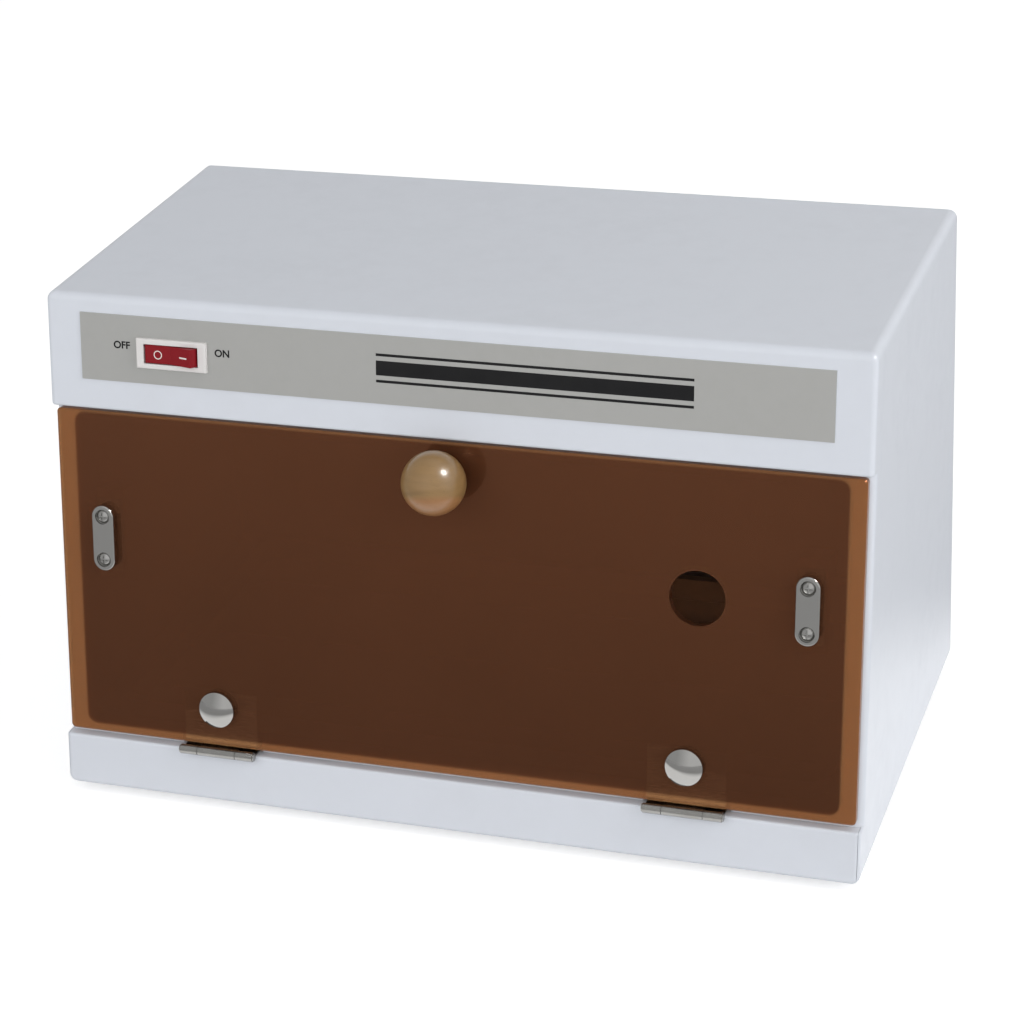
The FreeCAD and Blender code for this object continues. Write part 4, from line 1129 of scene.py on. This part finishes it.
@dataclass
class LampSet(SubAssembly):
    """The ultraviolet tube: hollow glass, its electrodes, caps, holders and reflector."""

    nodes: Names = (*both_sides("lamp_cap", "lamp_holder"), "lamp_reflector")
    wall: float = 0.0009
    glass_sides: int = 64
    stem_start: float = 0.0002
    stem_length: float = 0.010
    stem_root: float = 0.0055
    stem_tip: float = 0.0022
    lead_start: float = 0.9
    lead_pinch: float = 0.4
    lead_reach: float = 0.018
    lead_spread: float = 0.0030
    lead_radius: float = 0.0003
    lead_sides: int = 10
    coil_radius: float = 0.0008
    coil_wire: float = 0.00018
    coil_sides: int = 8
    coil_turns: int = 9
    coil_steps: int = 14

    def build(self) -> None:
        """Build the hollow tube and its electrodes."""
        low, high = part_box("lamp_tube")
        middle = (low + high) / 2
        radius = (high.z - low.z) / 2
        left = Vector((low.x, middle.y, middle.z))
        right = Vector((high.x, middle.y, middle.z))
        bore, skin = UP * (radius - self.wall), UP * radius
        shape = bmesh.new()
        ring(shape, [left + bore, right + bore, right + skin, left + skin], left,
             (right - left).normalized(), self.glass_sides)
        self.add(shape, "lamp_glass", "tube_glass", "tube_glass", replaces=["lamp_tube"])
        shape = bmesh.new()
        for end, inward in ((left, 1), (right, -1)):
            self._electrode(shape, end, inward)
        self.add(shape, "lamp_electrodes", "tungsten", "mirror_aluminium")

    def _electrode(self, shape: Shape, end: Vector, inward: int) -> None:
        """Add one end's stem, leads and coil.

        Args:
            shape: the mesh to add to.
            end: the middle of the tube's end.
            inward: the sign of X that points into the tube.
        """
        along = Vector((inward, 0.0, 0.0))
        across = Vector((0.0, self.lead_spread, 0.0))
        rod(shape, end + along * self.stem_start, end + along * self.stem_length, self.stem_root,
            self.stem_tip)
        for side in (-1, 1):
            root = end + along * self.stem_length * self.lead_start
            rod(shape, root + across * side * self.lead_pinch,
                end + along * self.lead_reach + across * side, self.lead_radius,
                sides=self.lead_sides)
        start = end + along * self.lead_reach - across
        wire = bmesh.ops.create_circle(
            shape, cap_ends=False, segments=self.coil_sides, radius=self.coil_wire,
            matrix=Matrix.Translation(start + UP * self.coil_radius))["verts"]
        loop = {edge for point in wire for edge in point.link_edges}
        steps = self.coil_turns * self.coil_steps
        bmesh.ops.spin(shape, geom=[*wire, *loop], cent=start, axis=(0, 1, 0),
                       dvec=across * 2 / steps, angle=math.tau * self.coil_turns, steps=steps,
                       use_merge=False)


@dataclass
class Electrics(SubAssembly):
    """Choke, starter, terminal strip and appliance inlet, with the metal that they hold."""

    nodes: Names = ("ballast", "ballast_screws", "starter_base", "starter",
                              "terminal_block", "power_inlet", "inlet_screws")
    poles: int = 4
    pitch: float = 0.010
    screw_radius: float = 0.0016
    head_sunk: float = 0.0012
    head_depth: float = 0.0009
    shank_depth: float = 0.0045
    slot_half: float = 0.0003
    pin_spots: tuple[tuple[float, float], ...] = (
        (-0.007, -0.0015), (0.0, 0.0025), (0.007, -0.0015))
    pin_half: Pair = (0.00104, 0.00204)
    pin_root: float = 0.092
    pin_end: float = 0.10304
    pin_chamfer: float = 0.00025

    def build(self) -> None:
        """Build the metal parts of the inlet and the terminal strip."""
        self._inlet_pins()
        self._terminal_screws()

    def _inlet_pins(self) -> None:
        """Plated skins over the inlet's three pins."""
        low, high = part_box("power_inlet")
        centre = (low + high) / 2
        half_x, half_z = self.pin_half
        shape = bmesh.new()
        for across, up in self.pin_spots:
            corner = Vector((centre.x + across - half_x, self.pin_root, centre.z + up - half_z))
            reach = Vector((centre.x + across + half_x, self.pin_end, centre.z + up + half_z))
            bar(shape, corner, reach, self.pin_chamfer)
        self.add(shape, "inlet_pins", "brass", "screw_steel")

    def _terminal_screws(self) -> None:
        """A slotted screw in each hole of the terminal strip."""
        low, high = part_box("terminal_block")
        middle = (low + high) / 2
        quarter = (high.y - low.y) / 4
        shape = bmesh.new()
        for pole in range(self.poles):
            across = low.x + (pole + 0.5) * self.pitch
            for shift in (-quarter, quarter):
                spot = Vector((across, middle.y + shift, high.z - self.head_sunk))
                rod(shape, spot - UP * self.shank_depth, spot - UP * self.head_depth,
                    self.screw_radius)
                for side in (-1, 1):
                    self._half_head(shape, spot, side)
        self.add(shape, "terminal_screws", "brass", "screw_steel")

    def _half_head(self, shape: Shape, spot: Vector, side: int) -> None:
        """One half of a slotted head.

        Args:
            shape: the mesh to add to.
            spot: the middle of the head's top.
            side: which half, as a sign.
        """
        lone = bmesh.new()
        rod(lone, spot - UP * self.head_depth, spot, self.screw_radius)
        cut = bmesh.ops.bisect_plane(
            lone, geom=[*lone.verts, *lone.edges, *lone.faces],
            plane_co=spot + Vector((side * self.slot_half, 0, 0)), plane_no=(-side, 0, 0),
            clear_outer=True)
        rim = [item for item in cut["geom_cut"] if isinstance(item, bmesh.types.BMEdge)]
        bmesh.ops.contextual_create(lone, geom=rim)
        bmesh.ops.recalc_face_normals(lone, faces=lone.faces)
        pour(as_mesh(lone, "half_head"), shape)


@dataclass
class InstrumentTray(SubAssembly):
    """The slotted tray on the chamber floor."""

    nodes: Names = ("tray",)


def main() -> None:
    """Build the studio, then each sub-assembly in turn."""
    logging.basicConfig(level=logging.INFO, format="%(name)s: %(message)s")
    Studio().build()
    bench = Bench()
    for group in (Housing, ControlStrip, Door, Hinges, LampSet, Electrics, InstrumentTray):
        group(bench).make()
    left = sorted(set(bench.slots) - bench.dressed)
    log.info("nodes dressed: %d, left plain: %s", len(bench.dressed), left or "none")


if __name__ == "__main__":
    main()
